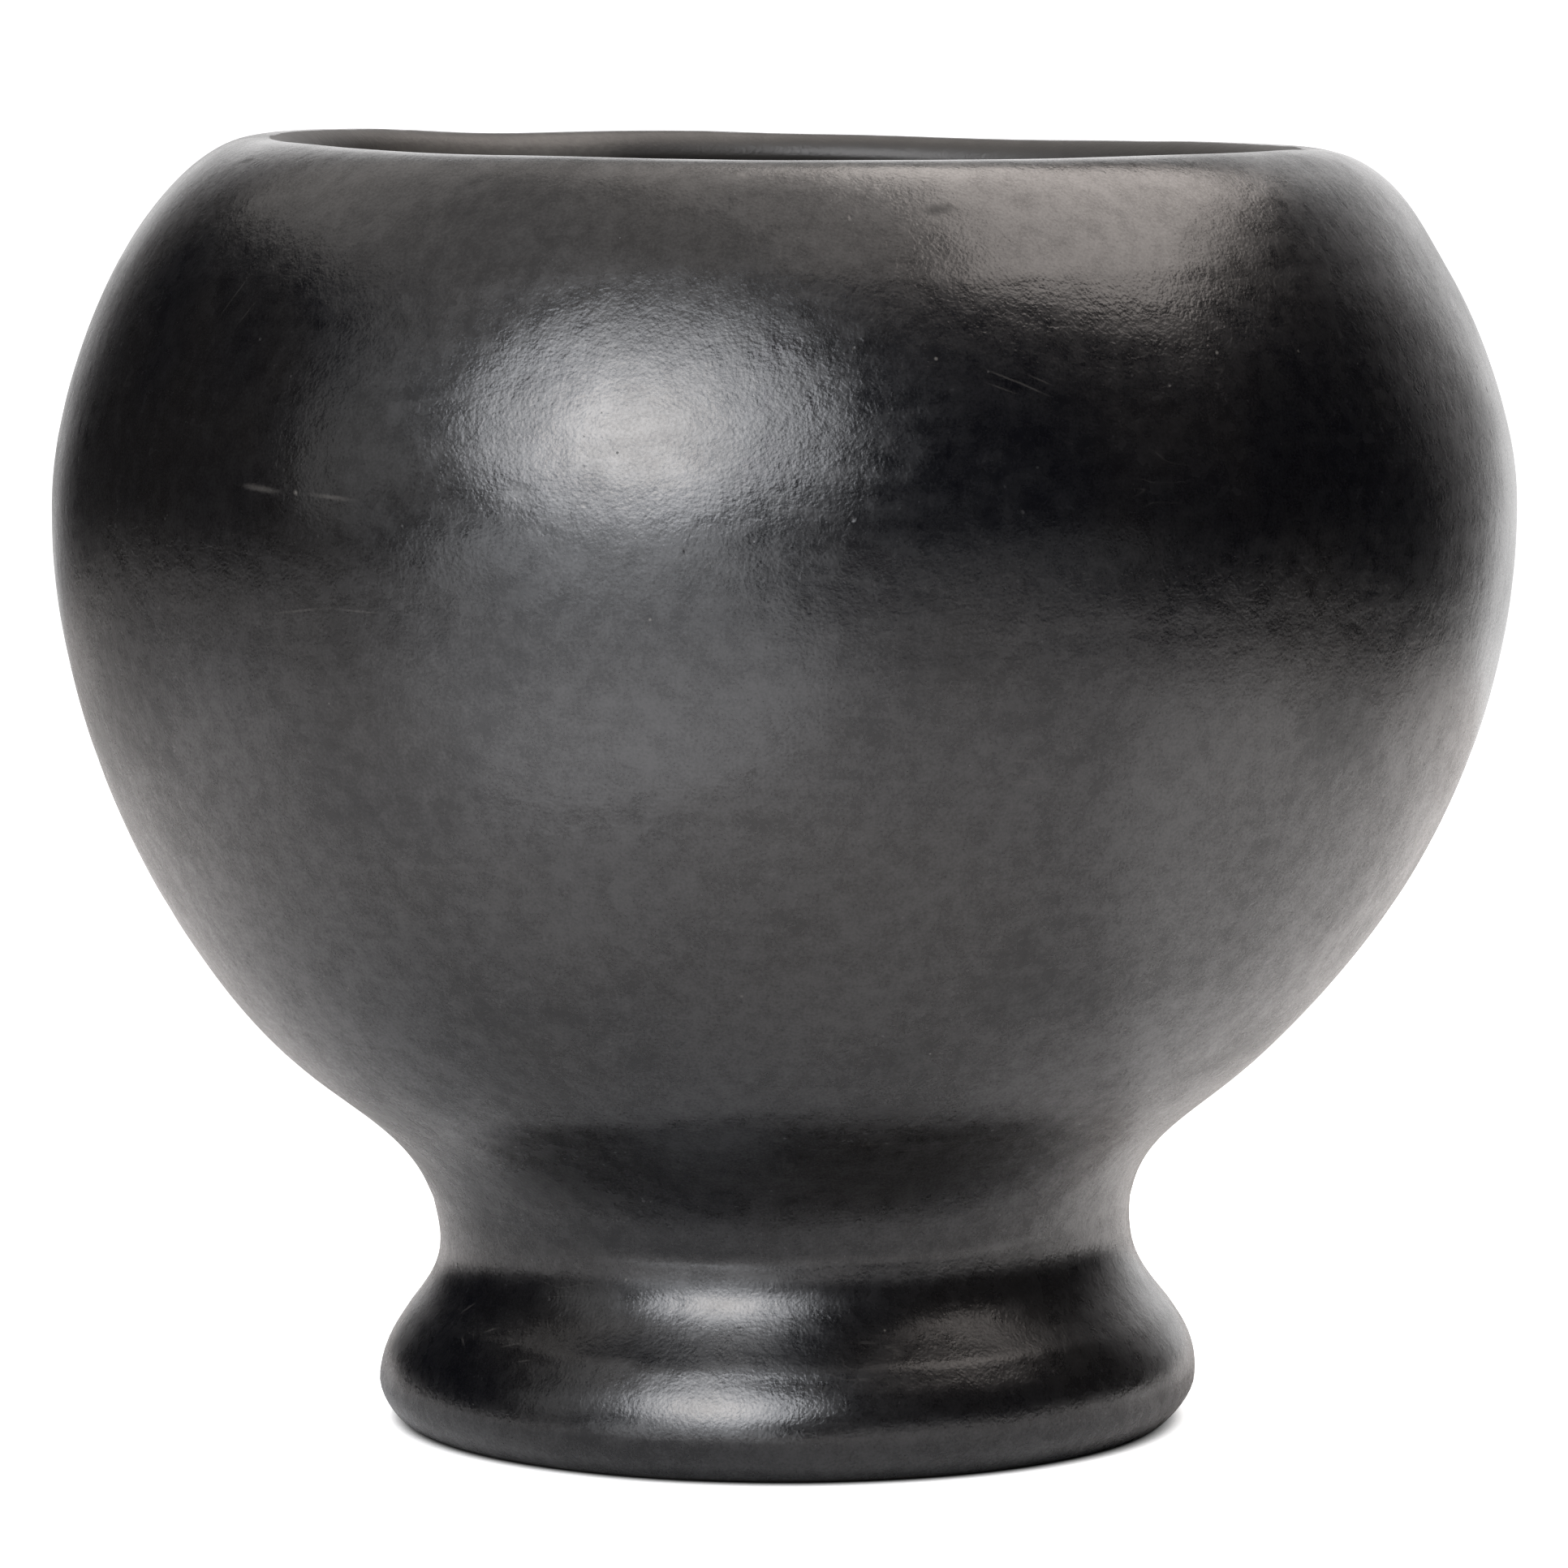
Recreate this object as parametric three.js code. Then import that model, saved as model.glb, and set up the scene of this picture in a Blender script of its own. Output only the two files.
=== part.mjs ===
import * as THREE from 'three';

// A burnished black clay bowl on a hollow flared foot, built by hand from coils and a pressed slab.
// Sizes are in millimetres. The foot stands on z = 0, and the bowl's axis is the Z axis.

// Foot: a hollow ring that narrows to a neck below the bowl
const NECK_RADIUS = 43;
const NECK_WALL = 8;
const FOOT_OVERHANG = 7.7;
const FOOT_EDGE_HEIGHT = 5.3;
const FOOT_EDGE_ROUND = 4.3;
const REST_RING_WIDTH = 6.4;
const FLARE_RISE = 18;
const FOOT_COIL_LIFT = 8.4;

// Collar: the course that spreads from the neck to the underside of the bowl
const COLLAR_RISE = 21.7;
const COLLAR_SPREAD = 16.1;
const COLLAR_JOINT_LIFT = 2.7;
const WALL_LEAN = THREE.MathUtils.degToRad(41.2);

// Bowl
const BELLY_RADIUS = 90;
const BELLY_WALL = 7;
const LOWER_WALL = 7.4;
const BOWL_RISE = 68.8;
const SHOULDER_RISE = 44.2;
const RIM_DRAW_IN = 26.5;
const LIP_ROUND = 3;
const FLOOR_LIFT = 6.7;
const FLOOR_THICKNESS = 7.5;
const SLAB_EDGE_THICKNESS = 4.2;

// Coils and their joints: each joint is a bevelled lap with a line of slip in it
const LOWEST_COURSE = 25;
const MIDDLE_COURSE_NAMES = ['flaring_wall_course', 'belly_course', 'upper_wall_course', 'shoulder_course'];
const RIM_COIL = 22;
const JOINT_BEVEL = 2.5;
const SLIP_LINE = 0.3;
const LUTING_COIL = 7;
const LUTING_BULGE = 0.8;

// Unevenness of the hand-built form: sideways sway, and a rim that is higher on one side
const FOOT_SWAY = 1;
const FOOT_SWAY_REACH = 10;
const WAIST_SWAY = -1.2;
const WAIST_SWAY_REACH = 18;
const RIM_SWAY = -0.15;
const RIM_TILT = 0.75;
const RIM_WAVE = 0.35;
const RIM_HIGH_SIDE = THREE.MathUtils.degToRad(197);
const RIM_WAVE_SIDE = THREE.MathUtils.degToRad(152);

// Pull of each curve's handles, as a share of the stretch that the curve spans
const FULLNESS = {
  footEdge: [0.4, 0.39],
  flare: [0.38, 0.35],
  collar: [0.43, 0.37],
  wall: [0.17, 0.48],
  shoulder: [0.4, 0.5],
  floor: [0.4, 0.34],
  wallInside: [0.26, 0.41],
  shoulderInside: [0.68, 0.07],
  quarterRound: [0.55, 0.55],
  slabUnderside: [0.5, 0.36],
  hollow: [0.3, 0.6],
};

// Fineness of the faceted solids
const AROUND = 48;
const OUTSIDE_STEPS = 5;
const CURVED_STEPS = 7;
const INSIDE_STEPS = 4;
const SLAB_STEPS = 7;
const SEAT_STEPS = 3;
const LIP_STEPS = 3;
const SEARCH_STEPS = 600;

const at = (radius, height) => new THREE.Vector2(radius, height);
const radiusOf = (point) => point.x;
const heightOf = (point) => point.y;

// Stations of the profile
const neck = at(NECK_RADIUS, FOOT_EDGE_HEIGHT + FLARE_RISE);
const footEdge = at(NECK_RADIUS + FOOT_OVERHANG, FOOT_EDGE_HEIGHT);
const restOutside = at(footEdge.x - FOOT_EDGE_ROUND, 0);
const restInside = at(restOutside.x - REST_RING_WIDTH, 0);
const collarTop = at(neck.x + COLLAR_SPREAD, neck.y + COLLAR_RISE);
const belly = at(BELLY_RADIUS, collarTop.y + BOWL_RISE);
const crest = at(belly.x - RIM_DRAW_IN, belly.y + SHOULDER_RISE);
const mouth = at(crest.x - LIP_ROUND, crest.y - LIP_ROUND);
const bellyInside = at(belly.x - BELLY_WALL, belly.y);
const floor = at(0, neck.y + FLOOR_LIFT);
const leanOut = at(Math.cos(WALL_LEAN), Math.sin(WALL_LEAN));
const leanDown = leanOut.clone().negate();
const acrossWall = at(-leanOut.y, leanOut.x);
const collarInside = collarTop.clone().addScaledVector(acrossWall, LOWER_WALL);
const up = at(0, 1);
const down = at(0, -1);
const outward = at(1, 0);

// A smooth curve that leaves its start along one direction and reaches its end against another
function sweep(start, startAlong, end, endAlong, [startPull, endPull]) {
  const span = start.distanceTo(end);
  const startHandle = start.clone().addScaledVector(startAlong, startPull * span);
  const endHandle = end.clone().addScaledVector(endAlong, endPull * span);
  return new THREE.CubicBezierCurve(start, startHandle, endHandle, end);
}

// A smooth curve whose handles are shares of its rise and of its reach outward
function bend(start, startAlong, end, endAlong, [startPull, endPull]) {
  const size = at(Math.abs(end.x - start.x), Math.abs(end.y - start.y));
  const startHandle = start.clone().addScaledVector(startAlong, startPull * Math.abs(startAlong.dot(size)));
  const endHandle = end.clone().addScaledVector(endAlong, endPull * Math.abs(endAlong.dot(size)));
  return new THREE.CubicBezierCurve(start, startHandle, endHandle, end);
}

function chain(...curves) {
  const path = new THREE.CurvePath();
  curves.forEach((curve) => path.add(curve));
  return path;
}

function along(path, distance) {
  return path.getPointAt(THREE.MathUtils.clamp(distance / path.getLength(), 0, 1));
}

function stretch(path, from, to, steps) {
  const points = [];
  for (let step = 0; step <= steps; step += 1) {
    points.push(along(path, THREE.MathUtils.lerp(from, to, step / steps)));
  }
  return points;
}

// Distance along a path to the place where a measure, such as the height, first reaches a value
function distanceWhere(path, measure, value) {
  const step = path.getLength() / SEARCH_STEPS;
  let distance = 0;
  while (distance < path.getLength() && measure(along(path, distance + step)) < value) {
    distance += step;
  }
  const before = measure(along(path, distance));
  const after = measure(along(path, distance + step));
  return distance + (step * (value - before)) / (after - before);
}

function distanceNearest(path, point) {
  let best = 0;
  for (let step = 0; step <= SEARCH_STEPS; step += 1) {
    const distance = (path.getLength() * step) / SEARCH_STEPS;
    if (along(path, distance).distanceTo(point) < along(path, best).distanceTo(point)) {
      best = distance;
    }
  }
  return best;
}

// Outside of the bowl and foot, from the rest ring up to the crest of the rim
const outside = chain(
  bend(restOutside, outward, footEdge, down, FULLNESS.footEdge),
  bend(footEdge, up, neck, down, FULLNESS.flare),
  sweep(neck, up, collarTop, leanDown, FULLNESS.collar),
  sweep(collarTop, leanOut, belly, down, FULLNESS.wall),
  bend(belly, up, crest, outward, FULLNESS.shoulder),
);

// Inside of the bowl, from the middle of the floor up to the crest of the rim
const inside = chain(
  sweep(floor, outward, collarInside, leanDown, FULLNESS.floor),
  sweep(collarInside, leanOut, bellyInside, down, FULLNESS.wallInside),
  bend(bellyInside, up, mouth, down, FULLNESS.shoulderInside),
  bend(mouth, up, crest, outward.clone().negate(), FULLNESS.quarterRound),
);

// A joint is a line across the wall, set square to the outside and then bevelled upward
function jointAt(outsideDistance, innerPath) {
  const nearest = distanceNearest(innerPath, along(outside, outsideDistance));
  return { outside: outsideDistance, inner: nearest + JOINT_BEVEL };
}

const halfSlip = SLIP_LINE / 2;
const collarTopDistance = distanceNearest(outside, collarTop);
const wallJoint = jointAt(collarTopDistance, inside);

// The slab's edge is the inner part of the seat of the lowest wall course, and the collar is the outer part
const slabCorner = along(inside, wallJoint.inner - halfSlip);
const collarCorner = along(outside, wallJoint.outside - halfSlip);
const seatLine = collarCorner.clone().sub(slabCorner).normalize();
const slabEdge = slabCorner.clone().addScaledVector(seatLine, SLAB_EDGE_THICKNESS);
const collarEdge = slabEdge.clone().addScaledVector(seatLine, SLIP_LINE);
const underside = at(0, floor.y - FLOOR_THICKNESS);
const seatMiddle = at(0, underside.y - SLIP_LINE);
const slabUnderside = sweep(underside, outward, slabEdge, leanDown, FULLNESS.slabUnderside);
const slabSeat = sweep(seatMiddle, outward, collarEdge, leanDown, FULLNESS.slabUnderside);

// Hollow of the foot, from the rest ring up to the slab
const hollowRadius = NECK_RADIUS - NECK_WALL;
const hollowTop = along(slabSeat, distanceWhere(slabSeat, radiusOf, hollowRadius));
const hollow = bend(restInside, up, hollowTop, down, FULLNESS.hollow);
const footJoint = jointAt(distanceWhere(outside, heightOf, FOOT_EDGE_HEIGHT + FOOT_COIL_LIFT), hollow);
const collarJoint = jointAt(distanceWhere(outside, heightOf, neck.y + COLLAR_JOINT_LIFT), hollow);

function footCoilOutline() {
  return [
    ...stretch(outside, 0, footJoint.outside - halfSlip, CURVED_STEPS),
    ...stretch(hollow, footJoint.inner - halfSlip, 0, INSIDE_STEPS),
  ];
}

function courseOutline(lower, upper, innerPath) {
  return [
    ...stretch(outside, lower.outside + halfSlip, upper.outside - halfSlip, OUTSIDE_STEPS),
    ...stretch(innerPath, upper.inner - halfSlip, lower.inner + halfSlip, INSIDE_STEPS),
  ];
}

function collarOutline() {
  const seatEnd = distanceWhere(slabSeat, radiusOf, hollowRadius);
  return [
    ...stretch(outside, collarJoint.outside + halfSlip, wallJoint.outside - halfSlip, CURVED_STEPS),
    ...stretch(slabSeat, slabSeat.getLength(), seatEnd, SEAT_STEPS),
    ...stretch(hollow, hollow.getLength(), collarJoint.inner + halfSlip, SEAT_STEPS).slice(1),
  ];
}

function floorSlabOutline() {
  return [
    ...stretch(slabUnderside, 0, slabUnderside.getLength(), SLAB_STEPS),
    ...stretch(inside, wallJoint.inner - halfSlip, 0, SLAB_STEPS),
  ];
}

function lutingCoilOutline() {
  const cornerDistance = distanceWhere(slabSeat, radiusOf, hollowRadius - SLIP_LINE);
  const wallFoot = along(hollow, hollow.getLength() - LUTING_COIL).sub(at(SLIP_LINE, 0));
  const ceilingEnd = along(slabSeat, cornerDistance - LUTING_COIL);
  const across = wallFoot.clone().sub(ceilingEnd).normalize();
  const middle = wallFoot.clone().add(ceilingEnd).multiplyScalar(0.5);
  const bulge = middle.add(at(across.y, -across.x).multiplyScalar(LUTING_BULGE));
  return [
    wallFoot,
    ...stretch(slabSeat, cornerDistance, cornerDistance - LUTING_COIL, SEAT_STEPS),
    bulge,
  ];
}

function rimCoilOutline(lower) {
  const mouthDistance = distanceNearest(inside, mouth);
  return [
    ...stretch(outside, lower.outside + halfSlip, outside.getLength(), CURVED_STEPS),
    ...stretch(inside, inside.getLength(), mouthDistance, LIP_STEPS).slice(1),
    ...stretch(inside, mouthDistance, lower.inner + halfSlip, INSIDE_STEPS).slice(1),
  ];
}

// Shift of a point of the true round form to its place on the hand-built one
function settle(point) {
  const near = (height, reach) => Math.exp(-(((point.z - height) / reach) ** 2));
  const foot = FOOT_SWAY * near(FOOT_EDGE_HEIGHT + FOOT_COIL_LIFT, FOOT_SWAY_REACH);
  const waist = WAIST_SWAY * near(collarTop.y, WAIST_SWAY_REACH);
  const towardsRim = THREE.MathUtils.smoothstep(point.z, belly.y, crest.y);
  const angle = Math.atan2(point.y, point.x);
  const tilt = RIM_TILT * Math.cos(angle - RIM_HIGH_SIDE);
  const wave = RIM_WAVE * Math.cos(2 * (angle - RIM_WAVE_SIDE));
  point.x += foot + waist + RIM_SWAY * towardsRim;
  point.z += (tilt + wave) * towardsRim;
}

function turned(outline) {
  const closed = outline[0].x === 0 ? outline : [...outline, outline[0].clone()];
  const geometry = new THREE.LatheGeometry(closed, AROUND);
  geometry.rotateX(Math.PI / 2);
  const position = geometry.getAttribute('position');
  const point = new THREE.Vector3();
  for (let index = 0; index < position.count; index += 1) {
    point.fromBufferAttribute(position, index);
    settle(point);
    position.setXYZ(index, point.x, point.y, point.z);
  }
  geometry.computeVertexNormals();
  return geometry;
}

// Finishes: burnished outside, wiped clay inside the bowl, dry clay in the foot
const clay = (color, roughness) => new THREE.MeshStandardMaterial({ color, roughness, metalness: 0 });
const burnishedClay = () => clay(0x2c2b2d, 0.38);
const wipedClay = () => clay(0x3a3633, 0.6);
const dryClay = () => clay(0x332d28, 0.8);

const bowl = new THREE.Group();

function add(name, outline, material) {
  const mesh = new THREE.Mesh(turned(outline), material);
  mesh.name = name;
  bowl.add(mesh);
}

add('foot_coil', footCoilOutline(), burnishedClay());
add('foot_flare_course', courseOutline(footJoint, collarJoint, hollow), burnishedClay());
add('neck_collar', collarOutline(), burnishedClay());
add('floor_slab', floorSlabOutline(), wipedClay());
add('luting_coil', lutingCoilOutline(), dryClay());

const lowestTop = jointAt(collarTopDistance + LOWEST_COURSE, inside);
add('lower_wall_course', courseOutline(wallJoint, lowestTop, inside), burnishedClay());

const rimJointDistance = outside.getLength() - RIM_COIL;
const middleCourse = (rimJointDistance - lowestTop.outside) / MIDDLE_COURSE_NAMES.length;
let lower = lowestTop;
for (const name of MIDDLE_COURSE_NAMES) {
  const upper = jointAt(lower.outside + middleCourse, inside);
  add(name, courseOutline(lower, upper, inside), burnishedClay());
  lower = upper;
}
add('rim_coil', rimCoilOutline(lower), burnishedClay());

export default bowl;
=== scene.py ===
"""Burnished black clay bowl on a flared foot: its looks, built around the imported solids.

Lengths are metres in the frame of the solids: +Z up, the bowl's axis on Z and the foot on z = 0.
The photograph looks along +Y, so the front of the bowl faces -Y and +X is to the right.
"""

import itertools
import logging
import math
from dataclasses import dataclass, field
from enum import Enum, IntEnum

import bpy
import numpy as np
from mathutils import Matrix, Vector


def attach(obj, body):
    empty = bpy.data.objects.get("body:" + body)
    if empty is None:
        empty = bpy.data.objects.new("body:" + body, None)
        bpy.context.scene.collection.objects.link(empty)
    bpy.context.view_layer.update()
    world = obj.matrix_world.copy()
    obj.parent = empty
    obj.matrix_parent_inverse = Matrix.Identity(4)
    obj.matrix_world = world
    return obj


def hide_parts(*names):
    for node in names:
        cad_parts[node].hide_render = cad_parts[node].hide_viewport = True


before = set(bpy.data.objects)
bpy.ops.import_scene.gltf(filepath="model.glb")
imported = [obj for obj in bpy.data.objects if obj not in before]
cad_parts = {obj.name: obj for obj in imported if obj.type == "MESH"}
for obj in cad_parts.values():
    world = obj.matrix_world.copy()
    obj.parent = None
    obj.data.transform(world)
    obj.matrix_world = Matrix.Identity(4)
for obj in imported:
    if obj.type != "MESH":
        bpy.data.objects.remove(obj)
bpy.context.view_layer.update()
MM = 0.001
BODY = "root"
LOG = logging.getLogger("clay_bowl")
CURVE_STEPS = 900
SEAT_STEPS = 600
SHORT_STEPS = 200
LATTICE_FACTORS = np.array([374761393, 668265263, 974634541])
SEED_FACTOR = 1274126177
MIXING = ((13, 1103515245), (15, 2246822519))
LAST_MIX = 16
WORD = 0xFFFFFFFF
RING_SHIFT = 37.3
ON_AXIS = 1e-7
SAME_PLACE = 1e-9
NO_SIZE = 1e-14

Points = np.ndarray
Pulls = tuple[float, float]
Socket = bpy.types.NodeSocket


def bezier(
    start: Points, start_handle: Points, end_handle: Points, end: Points, steps: int = CURVE_STEPS
) -> Points:
    """Sample a cubic curve in the radius and height plane.

    Args:
        start: First point.
        start_handle: Handle of the first point.
        end_handle: Handle of the last point.
        end: Last point.
        steps: How many stretches to sample.

    Returns:
        The sampled points, one row each.
    """
    t = np.linspace(0.0, 1.0, steps + 1)[:, None]
    left = 1 - t
    first_half = left**3 * start + 3 * left**2 * t * start_handle
    return first_half + 3 * left * t**2 * end_handle + t**3 * end


def sweep(
    start: Points, start_along: Points, end: Points, end_along: Points, pulls: Pulls
) -> Points:
    """Sample a curve whose handles are shares of the distance between its ends.

    Args:
        start: First point.
        start_along: Direction of the first handle.
        end: Last point.
        end_along: Direction of the last handle.
        pulls: Share of the span that each handle reaches.

    Returns:
        The sampled points, one row each.
    """
    span = float(np.linalg.norm(end - start))
    return bezier(start, start + start_along * pulls[0] * span, end + end_along * pulls[1] * span, end)


def bend(
    start: Points, start_along: Points, end: Points, end_along: Points, pulls: Pulls
) -> Points:
    """Sample a curve whose handles are shares of its rise and of its reach outward.

    Args:
        start: First point.
        start_along: Direction of the first handle.
        end: Last point.
        end_along: Direction of the last handle.
        pulls: Share of the rise or reach that each handle takes.

    Returns:
        The sampled points, one row each.
    """
    size = np.abs(end - start)
    first = start + start_along * pulls[0] * abs(float(start_along @ size))
    last = end + end_along * pulls[1] * abs(float(end_along @ size))
    return bezier(start, first, last, end)


def value_noise(points: Points, seed: int) -> Points:
    """Smooth noise on a unit lattice, the same on each run.

    Args:
        points: Places in lattice cells, with three columns.
        seed: Chooses one of many independent patterns.

    Returns:
        One value from -1 to 1 for each place.
    """
    cell = np.floor(points).astype(np.int64)
    share = points - cell
    ease = share**3 * (share * (share * 6 - 15) + 10)
    total = np.zeros(len(points))
    for corner in itertools.product((0, 1), repeat=3):
        at = cell + np.array(corner)
        mixed = (at @ LATTICE_FACTORS + seed * SEED_FACTOR) & WORD
        for shift, factor in MIXING:
            mixed = ((mixed ^ (mixed >> shift)) * factor) & WORD
        value = (mixed ^ (mixed >> LAST_MIX)) / WORD * 2 - 1
        weight = np.prod(np.where(np.array(corner) == 1, ease, 1 - ease), axis=1)
        total += value * weight
    return total


def smoothstep(low: float, high: float, value: Points) -> Points:
    """Ease from 0 at low to 1 at high."""
    t = np.clip((value - low) / (high - low), 0.0, 1.0)
    return t * t * (3 - 2 * t)


def bell(value: Points, middle: Points | float, reach: float) -> Points:
    """A smooth bump: 1 at the middle, and almost 0 at twice its reach."""
    return np.exp(-(((value - middle) / reach) ** 2))


def plateau(turn: Points, reach: float, least: float) -> Points:
    """A broad bump that is 1 round zero and falls to the least share past its reach."""
    return least + (1 - least) * np.exp(-((turn / reach) ** 4))


def wrapped(angle: Points) -> Points:
    """The same direction as an angle from -pi to pi."""
    return (angle + math.pi) % (2 * math.pi) - math.pi


class Path:
    """A profile line in the radius and height plane, measured by the distance along it."""

    def __init__(self, *curves: Points) -> None:
        """Join curves that meet end to start into one line.

        Args:
            curves: The curves in order.
        """
        rows = [curves[0]] + [curve[1:] for curve in curves[1:]]
        self.points = np.concatenate(rows)
        steps = np.linalg.norm(np.diff(self.points, axis=0), axis=1)
        self.reach = np.concatenate([[0.0], np.cumsum(steps)])

    @property
    def length(self) -> float:
        """Length of the whole line."""
        return float(self.reach[-1])

    def at(self, distance: Points | float) -> Points:
        """Points at the given distances along the line.

        Args:
            distance: Distances along the profile.

        Returns:
            Radius and height, one row for each distance.
        """
        radius = np.interp(distance, self.reach, self.points[:, 0])
        height = np.interp(distance, self.reach, self.points[:, 1])
        return np.stack([radius, height], axis=-1)

    def normal(self, distance: Points, span: float = 0.2 * MM) -> Points:
        """Directions out of the clay, on the right of the line's way along it.

        Args:
            distance: Distances along the line.
            span: Half the stretch over which the direction is taken.

        Returns:
            Unit directions, one row each.
        """
        ahead = self.at(np.minimum(distance + span, self.length))
        along = ahead - self.at(np.maximum(distance - span, 0.0))
        along /= np.linalg.norm(along, axis=-1, keepdims=True)
        return np.stack([along[:, 1], -along[:, 0]], axis=-1)

    def nearest(self, point: Points) -> float:
        """Distance along the line to its point nearest to the given one."""
        return float(self.reach[np.argmin(np.linalg.norm(self.points - point, axis=1))])

    def where(self, column: int, value: float) -> float:
        """Distance to the place where the radius (0) or the height (1) first reaches a value."""
        index = int(np.argmax(self.points[:, column] >= value))
        return float(self.reach[index])


OUT = np.array([1.0, 0.0])
UP = np.array([0.0, 1.0])


@dataclass(frozen=True)
class RimDip:
    """A shallow dip of the hand-drawn rim.

    Its side and its spread are in degrees, and its depth is in millimetres.
    """

    side: float
    depth: float
    spread: float

    def drop(self, angle: Points) -> Points:
        """How far the rim is below its even height, by the angle round the axis."""
        away = wrapped(angle - math.radians(self.side))
        return self.depth * MM * bell(away, 0.0, math.radians(self.spread))


@dataclass(frozen=True)
class BowlForm:
    """Driving sizes of the bowl, as its solids have them, and how full its curves are."""

    neck_radius: float = 43 * MM
    neck_wall: float = 8 * MM
    foot_overhang: float = 7.7 * MM
    foot_edge_height: float = 5.3 * MM
    foot_edge_round: float = 4.3 * MM
    rest_ring_width: float = 6.4 * MM
    flare_rise: float = 18 * MM
    foot_coil_lift: float = 8.4 * MM
    collar_rise: float = 21.7 * MM
    collar_spread: float = 16.1 * MM
    collar_joint_lift: float = 2.7 * MM
    wall_lean: float = math.radians(41.2)
    belly_radius: float = 90 * MM
    belly_wall: float = 7 * MM
    lower_wall: float = 7.4 * MM
    bowl_rise: float = 68.8 * MM
    shoulder_rise: float = 44.2 * MM
    rim_draw_in: float = 26.5 * MM
    lip_round: float = 3 * MM
    floor_lift: float = 6.7 * MM
    floor_thickness: float = 7.5 * MM
    slab_edge_thickness: float = 4.2 * MM
    lowest_course: float = 25 * MM
    middle_courses: int = 4
    rim_coil: float = 22 * MM
    joint_bevel: float = 2.5 * MM
    luting_coil: float = 7 * MM
    luting_bulge: float = 0.8 * MM
    foot_edge_pulls: Pulls = (0.4, 0.39)
    flare_pulls: Pulls = (0.46, 0.43)
    collar_pulls: Pulls = (0.43, 0.37)
    bowl_pulls: Pulls = (0.17, 0.48)
    shoulder_pulls: Pulls = (0.4, 0.5)
    floor_pulls: Pulls = (0.4, 0.34)
    inner_bowl_pulls: Pulls = (0.26, 0.41)
    inner_shoulder_pulls: Pulls = (0.68, 0.07)
    lip_pulls: Pulls = (0.55, 0.55)
    seat_pulls: Pulls = (0.5, 0.36)
    hollow_pulls: Pulls = (0.3, 0.6)
    foot_sway: float = 1 * MM
    foot_sway_reach: float = 10 * MM
    waist_sway: float = -1.2 * MM
    waist_sway_reach: float = 18 * MM
    waist_sway_front: float = -0.9 * MM
    neck_sway_back: float = 1.2 * MM
    neck_sway_height: float = 26 * MM
    neck_sway_reach: float = 6 * MM
    rim_sway: float = -0.15 * MM
    rim_spread: float = 1.8 * MM
    rim_spread_depth: float = 15 * MM
    rim_spread_turn: float = math.radians(52)
    rim_tilt: float = 0.75 * MM
    rim_wave: float = 0.35 * MM
    rim_high_side: float = math.radians(197)
    rim_wave_side: float = math.radians(152)
    rim_dips: tuple[RimDip, ...] = (
        RimDip(125, 0.65, 17), RimDip(62, 0.45, 17), RimDip(0, 0.35, 12),
    )

    @property
    def neck_height(self) -> float:
        """Height of the narrowest part of the neck."""
        return self.foot_edge_height + self.flare_rise

    @property
    def collar_height(self) -> float:
        """Height of the collar's upper edge."""
        return self.neck_height + self.collar_rise

    @property
    def belly_height(self) -> float:
        """Height of the widest part of the bowl."""
        return self.collar_height + self.bowl_rise

    @property
    def crest_height(self) -> float:
        """Mean height of the rim's crest."""
        return self.belly_height + self.shoulder_rise


class Corners:
    """The points that the bowl's profile runs through, as radius and height."""

    def __init__(self, form: BowlForm) -> None:
        """Work the points out from the driving sizes.

        Args:
            form: Driving sizes of the bowl.
        """
        self.lean = np.array([math.cos(form.wall_lean), math.sin(form.wall_lean)])
        across = np.array([-self.lean[1], self.lean[0]])
        self.foot_edge = np.array([form.neck_radius + form.foot_overhang, form.foot_edge_height])
        self.rest_out = np.array([self.foot_edge[0] - form.foot_edge_round, 0.0])
        self.rest_in = self.rest_out - OUT * form.rest_ring_width
        self.neck = np.array([form.neck_radius, form.neck_height])
        self.collar = np.array([form.neck_radius + form.collar_spread, form.collar_height])
        self.belly = np.array([form.belly_radius, form.belly_height])
        self.crest = np.array([form.belly_radius - form.rim_draw_in, form.crest_height])
        self.mouth = self.crest - form.lip_round
        self.belly_in = self.belly - OUT * form.belly_wall
        self.collar_in = self.collar + across * form.lower_wall
        self.floor = np.array([0.0, form.neck_height + form.floor_lift])
        self.under = self.floor - UP * form.floor_thickness


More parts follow.
